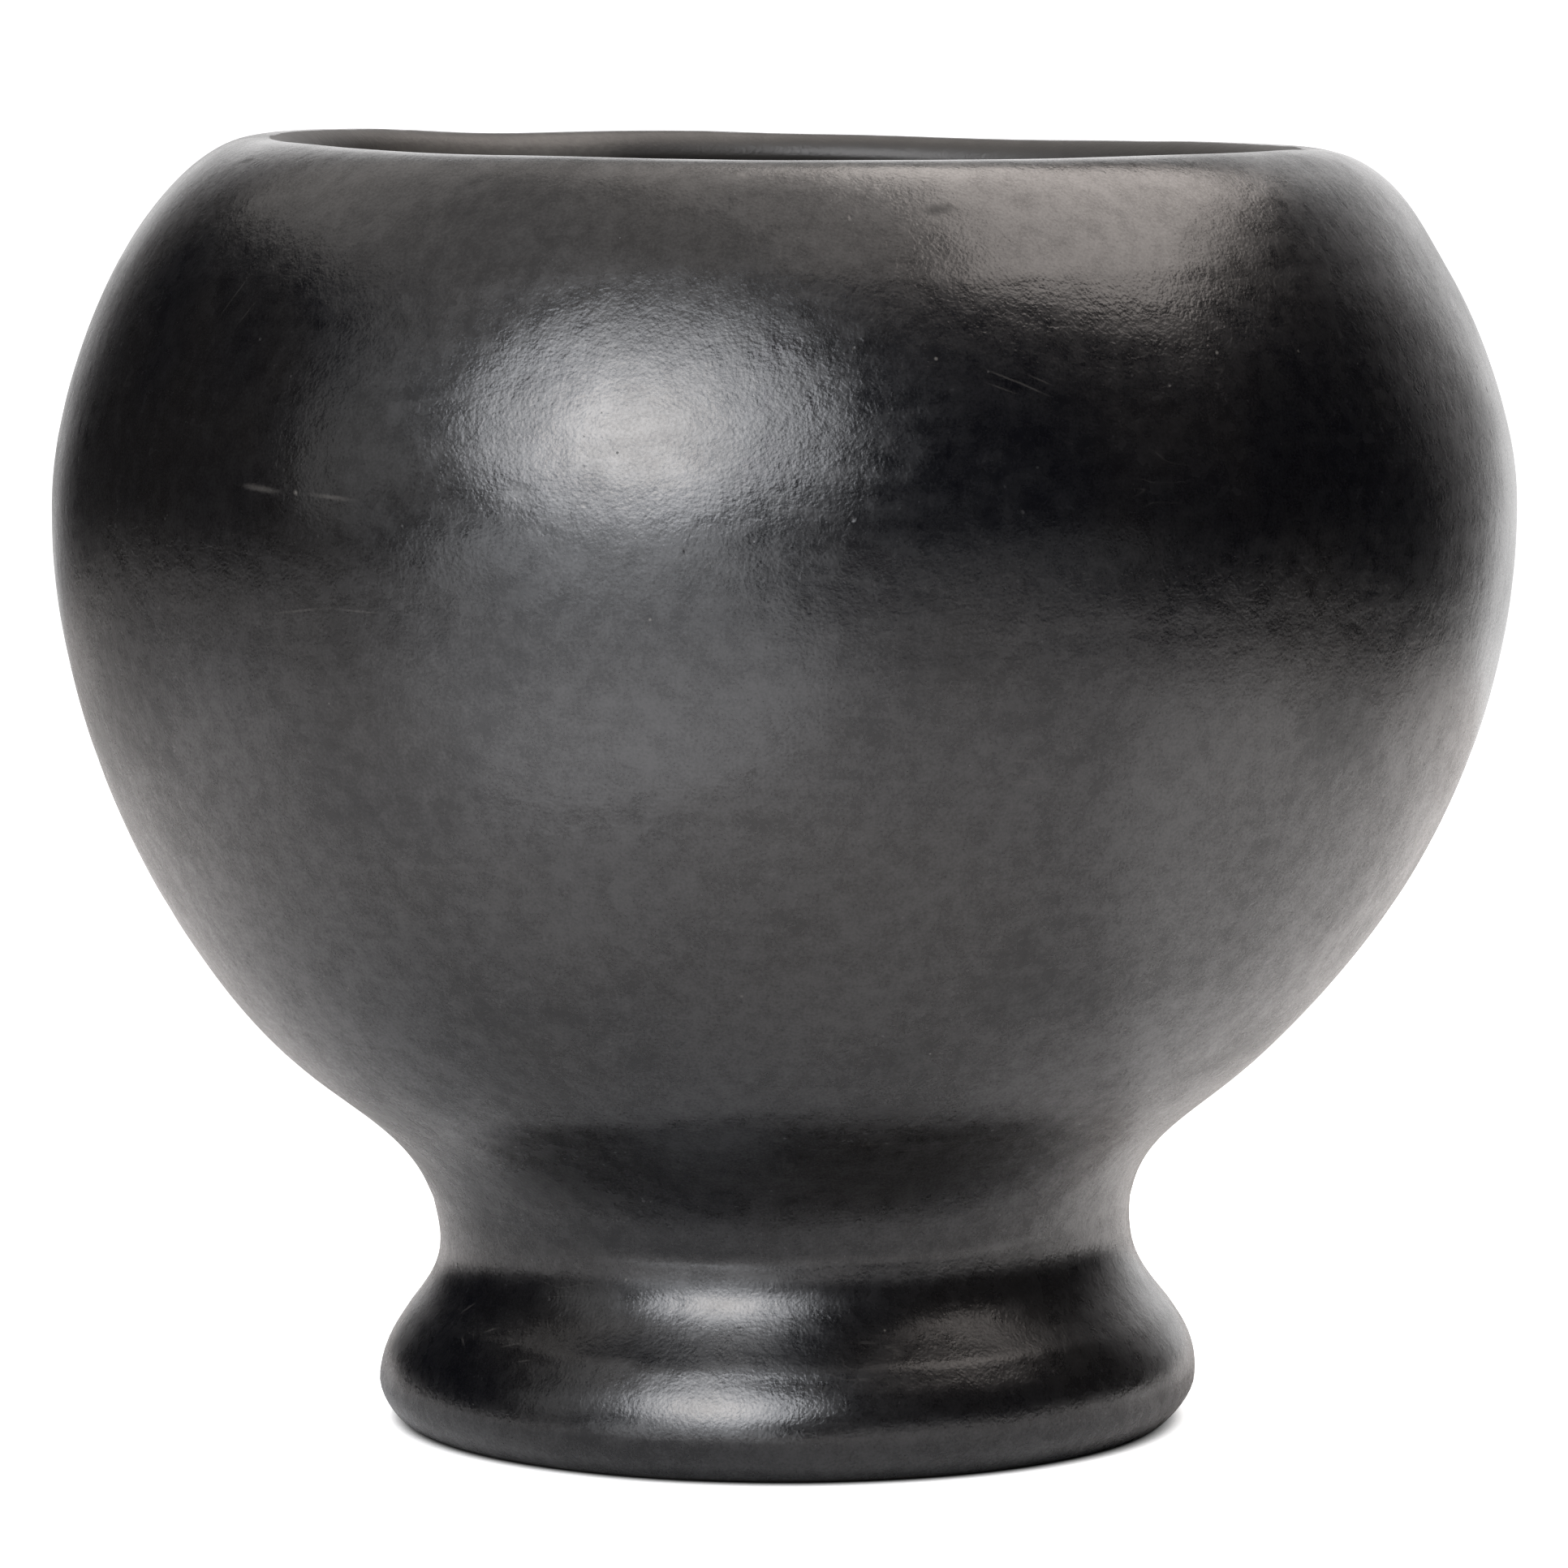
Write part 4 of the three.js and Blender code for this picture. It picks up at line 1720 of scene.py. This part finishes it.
class ClayMaterials:
    """Builds the clay's materials from its finishes and the shared effects."""

    def __init__(self, shelf: EffectShelf) -> None:
        """Keep the shelf of effects."""
        self.shelf = shelf

    def build(self, finish: ClayFinish) -> bpy.types.Material:
        """Make the material of a finish.

        Args:
            finish: How the clay looks.

        Returns:
            The new material.
        """
        material = bpy.data.materials.new(finish.name)
        material.use_nodes = True
        book = NodeBook(material.node_tree)
        given = self._inputs(book, finish)
        shader = material.node_tree.nodes["Principled BSDF"]
        book.put(shader.inputs["Base Color"], self._colour(book, finish, given))
        book.put(shader.inputs["Roughness"], self._roughness(book, finish, given))
        book.put(shader.inputs["Coat Weight"], self._film(book, finish, given))
        book.put(shader.inputs["Normal"], self._normal(book, finish, given))
        shader.inputs["Coat Roughness"].default_value = finish.film_roughness
        shader.inputs["IOR"].default_value = finish.refraction
        return material

    def _inputs(self, book: NodeBook, finish: ClayFinish) -> ClayInputs:
        """Lay the nodes that every part of a clay material reads.

        Args:
            book: The material's nodes.
            finish: How the clay looks.

        Returns:
            The inputs.
        """
        place = book.node("ShaderNodeTexCoord").outputs["Object"]
        ragged = book.noise(place, finish.ragged_scale, 3.0)
        edge = book.add(book.centred(ragged), finish.ragged_share, book.attribute("polish"))
        burnish = book.ramp(edge, *finish.burnish_edge)
        effects = {effect: self.shelf.place(book, effect, place) for effect in Effect}
        book.put(effects[Effect.GRAIN].inputs["Grain Size"], finish.grain_size)
        return ClayInputs(
            place, book.attribute("inside"), book.attribute("wear"), ragged, burnish, effects
        )

    def _colour(self, book: NodeBook, finish: ClayFinish, given: ClayInputs) -> Socket:
        """Mix the clay's colour: burnished or bare, with dust, rubbed places, specks and marks, among them
        a painted reflection.

        Args:
            book: The material's nodes.
            finish: How the clay looks.
            given: What the material is mixed from.

        Returns:
            The colour.
        """
        black = book.mix(given.of(Effect.CLOUDS, "Warmth"), finish.black, finish.brown)
        bare = book.mix(given.inside, finish.bare, finish.wiped)
        sooty = book.mix(finish.soot_share, bare, finish.soot)
        bare = book.mix(given.of(Effect.CLOUDS, "Smoke"), bare, sooty)
        colour = book.mix(given.burnish, bare, black)
        dust = book.times(given.of(Effect.GRAIN, "Mottle"), finish.grain_dust)
        dust = book.add(given.of(Effect.CLOUDS, "Mottle"), finish.cloud_dust, dust)
        dust = book.ramp(dust, 0.0, finish.dust_full, 0.0, finish.dust_share)
        colour = book.mix(dust, colour, finish.dust)
        patchy = book.ramp(given.ragged, *finish.rub_edge, 0.0, finish.rub_share)
        colour = book.mix(book.times(given.wear, patchy), colour, finish.pale)
        # The pale scuff colour also paints a reflection on the far inner lip
        for effect, name, share in (
            (Effect.SPECKS, "Speck", finish.speck_share),
            (Effect.SPECKS, "Scratch", finish.scratch_share),
            (Effect.MARKS, "Scuff", finish.scuff_and_reflection_share),
        ):
            colour = book.mix(book.times(given.of(effect, name), share), colour, finish.pale)
        return book.mix(given.of(Effect.MARKS, "Smudge"), colour, finish.soot)

    def _roughness(self, book: NodeBook, finish: ClayFinish, given: ClayInputs) -> Socket:
        """Work out how rough the clay is: uneven where burnished, rougher on the flare and in marks.

        Args:
            book: The material's nodes.
            finish: How the clay looks.
            given: What the material is mixed from.

        Returns:
            The roughness.
        """
        smoke = book.centred(given.of(Effect.CLOUDS, "Smoke"))
        streak = book.centred(given.of(Effect.STROKES, "Streak"))
        drift = book.add(smoke, finish.smoke_roughness, finish.burnished_roughness)
        drift = book.add(streak, finish.streak_roughness, drift)
        drift = book.add(given.of(Effect.CLOUDS, "Mottle"), finish.mottle_roughness, drift)
        level = book.parts(given.place)["Z"]
        flare = book.times(book.ramp(level, *finish.flare_head), finish.flare_roughness)
        flare = book.times(flare, book.ramp(level, *finish.flare_foot))
        rough = book.blend(given.burnish, finish.bare_roughness, book.math("ADD", drift, flare))
        for effect, name, more in (
            (Effect.SPECKS, "Pit", finish.pit_roughness),
            (Effect.MARKS, "Smudge", finish.smudge_roughness),
            (Effect.MARKS, "Cut", finish.cut_roughness),
        ):
            rough = book.add(given.of(effect, name), more, rough)
        return rough

    def _film(self, book: NodeBook, finish: ClayFinish, given: ClayInputs) -> Socket:
        """Work out how strong the hazy film of the burnish is: mottled, and gone in smudges.

        Args:
            book: The material's nodes.
            finish: How the clay looks.
            given: What the material is mixed from.

        Returns:
            The film's weight.
        """
        streak = book.centred(given.of(Effect.STROKES, "Streak"))
        smoke = book.centred(given.of(Effect.CLOUDS, "Smoke"))
        film = book.add(given.of(Effect.GRAIN, "Mottle"), finish.film_grain, finish.film)
        film = book.add(given.of(Effect.CLOUDS, "Mottle"), finish.film_mottle, film)
        film = book.add(streak, finish.film_streak, film)
        film = book.add(smoke, finish.film_smoke, film)
        film = book.times(film, given.burnish)
        clean = book.math("SUBTRACT", 1.0, given.of(Effect.MARKS, "Smudge"))
        return book.ramp(book.times(film, clean), 0.0, 1.0)

    def _normal(self, book: NodeBook, finish: ClayFinish, given: ClayInputs) -> Socket:
        """Raise the grain and the pebble's strokes, and sink the pits and cuts.

        Args:
            book: The material's nodes.
            finish: How the clay looks.
            given: What the material is mixed from.

        Returns:
            The bumped normal.
        """
        depth = book.blend(given.burnish, finish.bare_grain_depth, finish.grain_depth)
        height = book.times(given.of(Effect.GRAIN, "Height"), depth)
        for effect, name, rise in (
            (Effect.STROKES, "Streak", finish.stroke_depth),
            (Effect.SPECKS, "Pit", -finish.pit_depth),
            (Effect.MARKS, "Cut", -finish.cut_depth),
        ):
            height = book.add(given.of(effect, name), rise, height)
        bump = book.node("ShaderNodeBump")
        bump.inputs["Distance"].default_value = 1.0
        bump.inputs["Strength"].default_value = 1.0
        book.put(bump.inputs["Height"], height)
        return bump.outputs[0]


@dataclass
class ClayPiece:
    """One piece of clay: the stretches of skin that it shows, and the solid that it stands for."""

    node: str
    slot: str
    runs: list[tuple[str, str]]
    vias: dict[int, Points] = field(default_factory=dict)


class SubAssembly:
    """A group of pieces that the potter makes and joins as one step."""

    def pieces(self) -> list[ClayPiece]:
        """The pieces of this group."""
        raise NotImplementedError

    def build(
        self, surface: ClaySurface, materials: dict[str, bpy.types.Material]
    ) -> list[bpy.types.Object]:
        """Build and dress every piece of the group.

        Args:
            surface: Makes the meshes.
            materials: The materials by slot.

        Returns:
            The new objects.
        """
        made = []
        marks = surface.skin.marks
        for piece in self.pieces():
            runs = [(marks[start], marks[end]) for start, end in piece.runs]
            mesh = surface.mesh(f"{piece.node}_clay", runs, piece.vias)
            mesh.materials.append(materials[piece.slot])
            thing = bpy.data.objects.new(f"{piece.node}_clay", mesh)
            bpy.context.collection.objects.link(thing)
            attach(thing, BODY)
            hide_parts(piece.node)
            LOG.info("%s: %d faces, stands for %s", thing.name, len(mesh.polygons), piece.node)
            made.append(thing)
        return made


@dataclass
class FootRing(SubAssembly):
    """The hollow foot: its coil, the flare, the collar under the bowl and the luting coil inside."""

    skin: Skin
    seat_rows: int = 8

    def pieces(self) -> list[ClayPiece]:
        """The foot's pieces, from the table up.

        Returns:
            The pieces in order.
        """
        skin = self.skin
        corner = skin.seat.nearest(skin.hollow_corner)
        slab_seat = skin.seat.at(np.linspace(skin.seat.length, corner, self.seat_rows))
        wall_end = skin.hollow.length - skin.form.luting_coil
        to_wall = np.linspace(skin.hollow.length, wall_end, self.seat_rows)[1:-1]
        collar_via = np.concatenate([slab_seat, skin.hollow.at(to_wall)])
        to_ceiling = np.linspace(corner, corner - skin.form.luting_coil, self.seat_rows)[:-1]
        luting_via = np.concatenate([skin.hollow.at(to_wall[::-1]), skin.seat.at(to_ceiling)])
        return [
            ClayPiece("foot_coil", BURNISHED.name, [("foot_inner", "foot_outer")]),
            ClayPiece(
                "foot_flare_course", BURNISHED.name,
                [("foot_outer", "collar_outer"), ("collar_inner", "foot_inner")],
            ),
            ClayPiece(
                "neck_collar", BURNISHED.name,
                [("collar_outer", "wall_outer"), ("luting_end", "collar_inner")], {0: collar_via},
            ),
            ClayPiece("luting_coil", DRY.name, [("luting_start", "luting_end")], {0: luting_via}),
        ]


@dataclass
class BowlFloor(SubAssembly):
    """The pressed slab that closes the bowl's floor."""

    skin: Skin
    seat_rows: int = 14

    def pieces(self) -> list[ClayPiece]:
        """The slab alone.

        Returns:
            The pieces in order.
        """
        skin = self.skin
        rows = np.linspace(skin.marks["luting_start"], skin.seat.length, self.seat_rows)[1:]
        runs = [("start", "luting_start"), ("wall_inner", "end")]
        return [ClayPiece("floor_slab", WIPED.name, runs, {0: skin.seat.at(rows)})]


@dataclass
class BowlWall(SubAssembly):
    """The coils of the wall, from the collar to the shoulder."""

    names: tuple[str, ...] = (
        "lower_wall_course",
        "flaring_wall_course",
        "belly_course",
        "upper_wall_course",
        "shoulder_course",
    )

    def pieces(self) -> list[ClayPiece]:
        """The wall's coils, from the lowest up.

        Returns:
            The pieces in order.
        """
        joints = ["wall"] + [f"course_{number + 1}" for number in range(len(self.names))]
        made = []
        for name, low, high in zip(self.names, joints, joints[1:]):
            runs = [(f"{low}_outer", f"{high}_outer"), (f"{high}_inner", f"{low}_inner")]
            made.append(ClayPiece(name, BURNISHED.name, runs))
        return made


@dataclass
class Rim(SubAssembly):
    """The last coil, drawn in and rounded to the lip."""

    joint: str = "course_5"

    def pieces(self) -> list[ClayPiece]:
        """The rim coil alone."""
        return [ClayPiece("rim_coil", BURNISHED.name, [(f"{self.joint}_outer", f"{self.joint}_inner")])]


class Facing(Enum):
    """Where a studio lamp is turned."""

    BOWL = "bowl"
    FLOOR = "floor"
    CEILING = "ceiling"


@dataclass(frozen=True)
class SoftBox:
    """One studio lamp: where it stands seen from the bowl, how large it is and how bright."""

    name: str
    azimuth: float
    elevation: float
    distance: float
    width: float
    height: float
    radiance: float
    colour: tuple[float, float, float] = (1.0, 1.0, 1.0)
    facing: Facing = Facing.BOWL
    turn: float = 0.0

    def build(self, target: Vector) -> bpy.types.Object:
        """Set the lamp up, turned to the target or straight down.

        Args:
            target: The place that the lamp's direction is measured from.

        Returns:
            The lamp.
        """
        light = bpy.data.lights.new(self.name, "AREA")
        light.shape = "RECTANGLE" if self.facing is Facing.FLOOR else "ELLIPSE"
        light.size = self.width
        light.size_y = self.height
        area = self.width * self.height * (1.0 if self.facing is Facing.FLOOR else math.pi / 4)
        light.energy = self.radiance * math.pi * area
        light.color = self.colour
        lamp = bpy.data.objects.new(self.name, light)
        side, rise = math.radians(self.azimuth), math.radians(self.elevation)
        flat = math.cos(rise)
        way = Vector((math.sin(side) * flat, -math.cos(side) * flat, math.sin(rise)))
        lamp.location = target + way * self.distance
        if self.facing is Facing.BOWL:
            lamp.rotation_euler = (-way).to_track_quat("-Z", "Y").to_euler()
        else:
            over = math.pi if self.facing is Facing.CEILING else 0.0
            lamp.rotation_euler = (over, 0.0, math.radians(self.turn))
        lamp.visible_camera = False
        bpy.context.collection.objects.link(lamp)
        return lamp


@dataclass(frozen=True)
class Paper:
    """Matte paper of the studio: its colour, how strongly it glows where it is background, and on the floor
    a painted contact shadow and a painted pool of light.
    """

    name: str
    colour: Colour
    straight: float
    mirrored: float
    # Colour, reach and fade of the painted contact shadow round the bowl's foot
    corner: Colour = (0.1, 0.1, 0.1, 1.0)
    painted_shadow_reach: float = 0.0
    painted_shadow_fade: tuple[float, float] = (0.05, 0.58)
    left_fade: tuple[float, float] = (-0.78, -0.38)
    right_fade: tuple[float, float] = (1.28, 0.8)
    high_fade: tuple[float, float] = (0.45, 1.0)
    high_share: float = 0.6
    # Painted pool of light: the floor's colour is full near the bowl and darker past the fade end
    painted_pool_reach: float = 0.18
    painted_pool_fade_end: float = 0.6
    painted_pool_far_share: float = 0.48


# The floor paper carries a painted contact shadow 4 mm round the foot and a painted pool of light round the
# bowl
FLOOR_PAPER = Paper("floor_paper", (0.785, 0.785, 0.79, 1.0), 0.97, 0.0, painted_shadow_reach=4 * MM)
BACKDROP_PAPER = Paper("backdrop_paper", (0.5, 0.5, 0.51, 1.0), 1.0, 0.88)


@dataclass
class Studio:
    """The plain studio round the bowl: floor, backdrop, lamps, world and camera."""

    camera_height: float = 0.1863
    camera_distance: float = 1.0251
    camera_pitch: float = math.radians(5.99)
    lens: float = 191.4
    sensor: float = 36.0
    floor_left: float = -1.0
    floor_right: float = 0.5
    floor_front: float = -1.3
    floor_back: float = 0.8
    floor_sides: int = 128
    backdrop_radius: float = 1.7
    backdrop_height: float = 1.3
    backdrop_foot: float = -0.3
    backdrop_from: float = 124.0
    backdrop_to: float = 212.0
    backdrop_posts: int = 49
    room: Colour = (0.012, 0.012, 0.013, 1.0)
    room_back: tuple[float, float] = (0.93, 0.97)
    target: Vector = field(default_factory=lambda: Vector((0.0, 0.0, 0.11)))
    lamps: tuple[SoftBox, ...] = (
        SoftBox("key_softbox", -22.4, 26.4, 1.15, 1.03, 0.86, 4.9, (0.92, 0.945, 1.0)),
        SoftBox("key_core", -23, 25.5, 1.14, 0.5, 0.42, 3.95, (1.0, 0.905, 0.807)),
        SoftBox("key_skirt", -28, -1, 1.25, 1.25, 0.3, 1.95, (0.94, 0.96, 1.0)),
        SoftBox("right_skirt", 36, -2.5, 1.25, 1.0, 0.2, 0.22, (0.94, 0.96, 1.0)),
        SoftBox("left_card", -68, 20, 1.3, 0.5, 0.9, 0.5, (1.0, 0.99, 0.98)),
        SoftBox("right_panel", 108.5, 57.9, 1.299, 0.89, 1.62, 2.55, (1.0, 0.915, 0.865), Facing.FLOOR, 20),
        SoftBox("middle_panel", 88.1, 87.5, 1.101, 0.4, 1.62, 0.38, (1.0, 0.915, 0.865), Facing.FLOOR, 20),
        SoftBox("ceiling_panel", -119.8, 60.28, 1.439, 1.81, 2.4, 0.6, (1.0, 0.95, 0.91), Facing.FLOOR),
        SoftBox("front_bounce", -24, -7.2, 0.842, 0.6, 1.33, 0.57, (0.94, 0.96, 1.0), Facing.CEILING, -24),
        SoftBox("near_bounce", -25, -29.4, 0.218, 0.24, 0.17, 0.15, (0.97, 0.97, 1.0), Facing.CEILING, -25),
        SoftBox("right_bounce", 94, -28.6, 0.224, 0.26, 0.36, 0.31, (1.0, 0.99, 0.98), Facing.CEILING, 18),
        SoftBox("back_bounce", 160, -13.4, 0.463, 0.85, 0.55, 0.26, (1.0, 0.98, 0.96), Facing.CEILING, -20),
    )

    def build(self) -> None:
        """Set the whole studio up."""
        self._floor()
        self._backdrop()
        for lamp in self.lamps:
            lamp.build(self.target)
        self._world()
        self._camera()

    def _camera(self) -> None:
        """Stand the camera where the photograph was taken from."""
        data = bpy.data.cameras.new("photo_camera")
        data.lens = self.lens
        data.sensor_width = self.sensor
        camera = bpy.data.objects.new("photo_camera", data)
        camera.location = (0.0, -self.camera_distance, self.camera_height)
        camera.rotation_euler = (math.pi / 2 - self.camera_pitch, 0.0, 0.0)
        bpy.context.collection.objects.link(camera)
        bpy.context.scene.camera = camera

    def _seen(self, book: NodeBook, straight: float, mirrored: object) -> Socket:
        """How strongly the paper glows as background, straight from the camera and mirrored or passed.

        Args:
            book: The nodes to work in.
            straight: Strength for rays from the camera.
            mirrored: Strength for reflected and transmitted rays.

        Returns:
            The strength.
        """
        rays = book.node("ShaderNodeLightPath").outputs
        other = book.math("MAXIMUM", rays["Is Glossy Ray"], rays["Is Transmission Ray"])
        return book.add(rays["Is Camera Ray"], straight, book.times(other, mirrored))

    def _white(self, paper: Paper) -> bpy.types.Material:
        """White paper for the floor and backdrop: lit by the lamps, with a glow as background, and on the
        floor a painted contact shadow and a painted pool of light.

        Args:
            paper: How the paper looks.

        Returns:
            The new material.
        """
        material = bpy.data.materials.new(paper.name)
        material.use_nodes = True
        tree = material.node_tree
        tree.nodes.clear()
        book = NodeBook(tree)
        sheet = book.node("ShaderNodeBsdfDiffuse")
        glow = book.node("ShaderNodeEmission")
        x, y, z = book.parts(book.node("ShaderNodeTexCoord").outputs["Object"])
        mirrored: object = 0.0
        if paper.mirrored:
            mirrored = book.ramp(x, *paper.left_fade, 0.0, paper.mirrored)
            mirrored = book.times(mirrored, book.ramp(x, *paper.right_fade))
            mirrored = book.times(mirrored, book.ramp(z, *paper.high_fade, 1.0, paper.high_share))
        seen = self._seen(book, paper.straight, mirrored)
        if paper.painted_shadow_reach:
            # Painted contact shadow: where ambient occlusion finds the bowl near, the glow fades and the
            # colour turns to the dark corner colour
            corner = book.node("ShaderNodeAmbientOcclusion", samples=16)
            corner.inputs["Distance"].default_value = paper.painted_shadow_reach
            clear = book.ramp(corner.outputs["AO"], *paper.painted_shadow_fade)
            seen = book.times(seen, clear)
            # Painted pool of light: the paper's colour darkens with distance from the bowl, measured
            # sideways only behind it
            front = book.math("MINIMUM", y, 0.0)
            away = book.vector("LENGTH", book.combine(x, front, 0.0))
            share = book.ramp(away, paper.painted_pool_reach, paper.painted_pool_fade_end, 1.0, paper.painted_pool_far_share)
            colour = book.mix(share, (0.0, 0.0, 0.0, 1.0), paper.colour)
            book.put(sheet.inputs["Color"], book.mix(clear, paper.corner, colour))
        else:
            book.put(sheet.inputs["Color"], paper.colour)
        book.put(glow.inputs["Strength"], seen)
        both = book.node("ShaderNodeAddShader")
        book.put(both.inputs[0], sheet.outputs[0])
        book.put(both.inputs[1], glow.outputs[0])
        result = book.node("ShaderNodeOutputMaterial")
        book.put(result.inputs["Surface"], both.outputs[0])
        return material

    def _floor(self) -> bpy.types.Object:
        """Lay the oval table top that the bowl stands on.

        Returns:
            The table top.
        """
        turn = np.arange(self.floor_sides) * 2 * math.pi / self.floor_sides
        reach = np.array([self.floor_right - self.floor_left, self.floor_back - self.floor_front]) / 2
        middle = np.array([self.floor_right + self.floor_left, self.floor_back + self.floor_front]) / 2
        ring = middle + reach * np.stack([np.cos(turn), np.sin(turn)], axis=-1)
        edge = [(float(x), float(y), 0.0) for x, y in ring]
        mesh = bpy.data.meshes.new("studio_floor")
        mesh.from_pydata(edge, [], [list(range(len(edge)))])
        mesh.materials.append(self._white(FLOOR_PAPER))
        floor = bpy.data.objects.new("studio_floor", mesh)
        bpy.context.collection.objects.link(floor)
        return floor

    def _backdrop(self) -> bpy.types.Object:
        """Stand a curved white sheet behind the bowl.

        Returns:
            The sheet.
        """
        turns = np.radians(np.linspace(self.backdrop_from, self.backdrop_to, self.backdrop_posts))
        reach = self.backdrop_radius
        foot = [(reach * math.sin(turn), -reach * math.cos(turn), self.backdrop_foot) for turn in turns]
        head = [(x, y, self.backdrop_height) for x, y, _ in foot]
        last = len(foot)
        mesh = bpy.data.meshes.new("studio_backdrop")
        mesh.from_pydata(foot + head, [], [[i, i + 1, last + i + 1, last + i] for i in range(last - 1)])
        mesh.materials.append(self._white(BACKDROP_PAPER))
        sheet = bpy.data.objects.new("studio_backdrop", mesh)
        bpy.context.collection.objects.link(sheet)
        return sheet

    def _world(self) -> None:
        """Make the room dim, and white where the camera looks past the floor."""
        world = bpy.data.worlds.new("studio_room")
        bpy.context.scene.world = world
        world.use_nodes = True
        tree = world.node_tree
        tree.nodes.clear()
        book = NodeBook(tree)
        rays = book.node("ShaderNodeLightPath").outputs
        way = book.parts(book.node("ShaderNodeTexCoord").outputs["Generated"])
        behind = book.times(book.ramp(way["Y"], *self.room_back), rays["Is Glossy Ray"])
        straight = book.math("MAXIMUM", rays["Is Camera Ray"], rays["Is Transmission Ray"])
        straight = book.math("MAXIMUM", straight, behind)
        air = book.node("ShaderNodeBackground")
        book.put(air.inputs["Color"], book.mix(straight, self.room, (1.0, 1.0, 1.0, 1.0)))
        result = book.node("ShaderNodeOutputWorld")
        book.put(result.inputs["Surface"], air.outputs[0])


def main() -> None:
    """Build the bowl, piece by piece, and the studio round it."""
    logging.basicConfig(level=logging.INFO, format="%(name)s %(message)s")
    bpy.context.scene.view_settings.view_transform = "Standard"
    skin = Skin(BowlForm())
    surface = ClaySurface(skin, HandRelief(), Handling(), Fineness())
    maker = ClayMaterials(EffectShelf(skin, EffectSizes()))
    materials = {finish.name: maker.build(finish) for finish in (BURNISHED, WIPED, DRY)}
    for group in (FootRing(skin), BowlFloor(skin), BowlWall(), Rim()):
        made = group.build(surface, materials)
        LOG.info("%s: %d pieces", type(group).__name__, len(made))
    Studio().build()


if __name__ == "__main__":
    main()
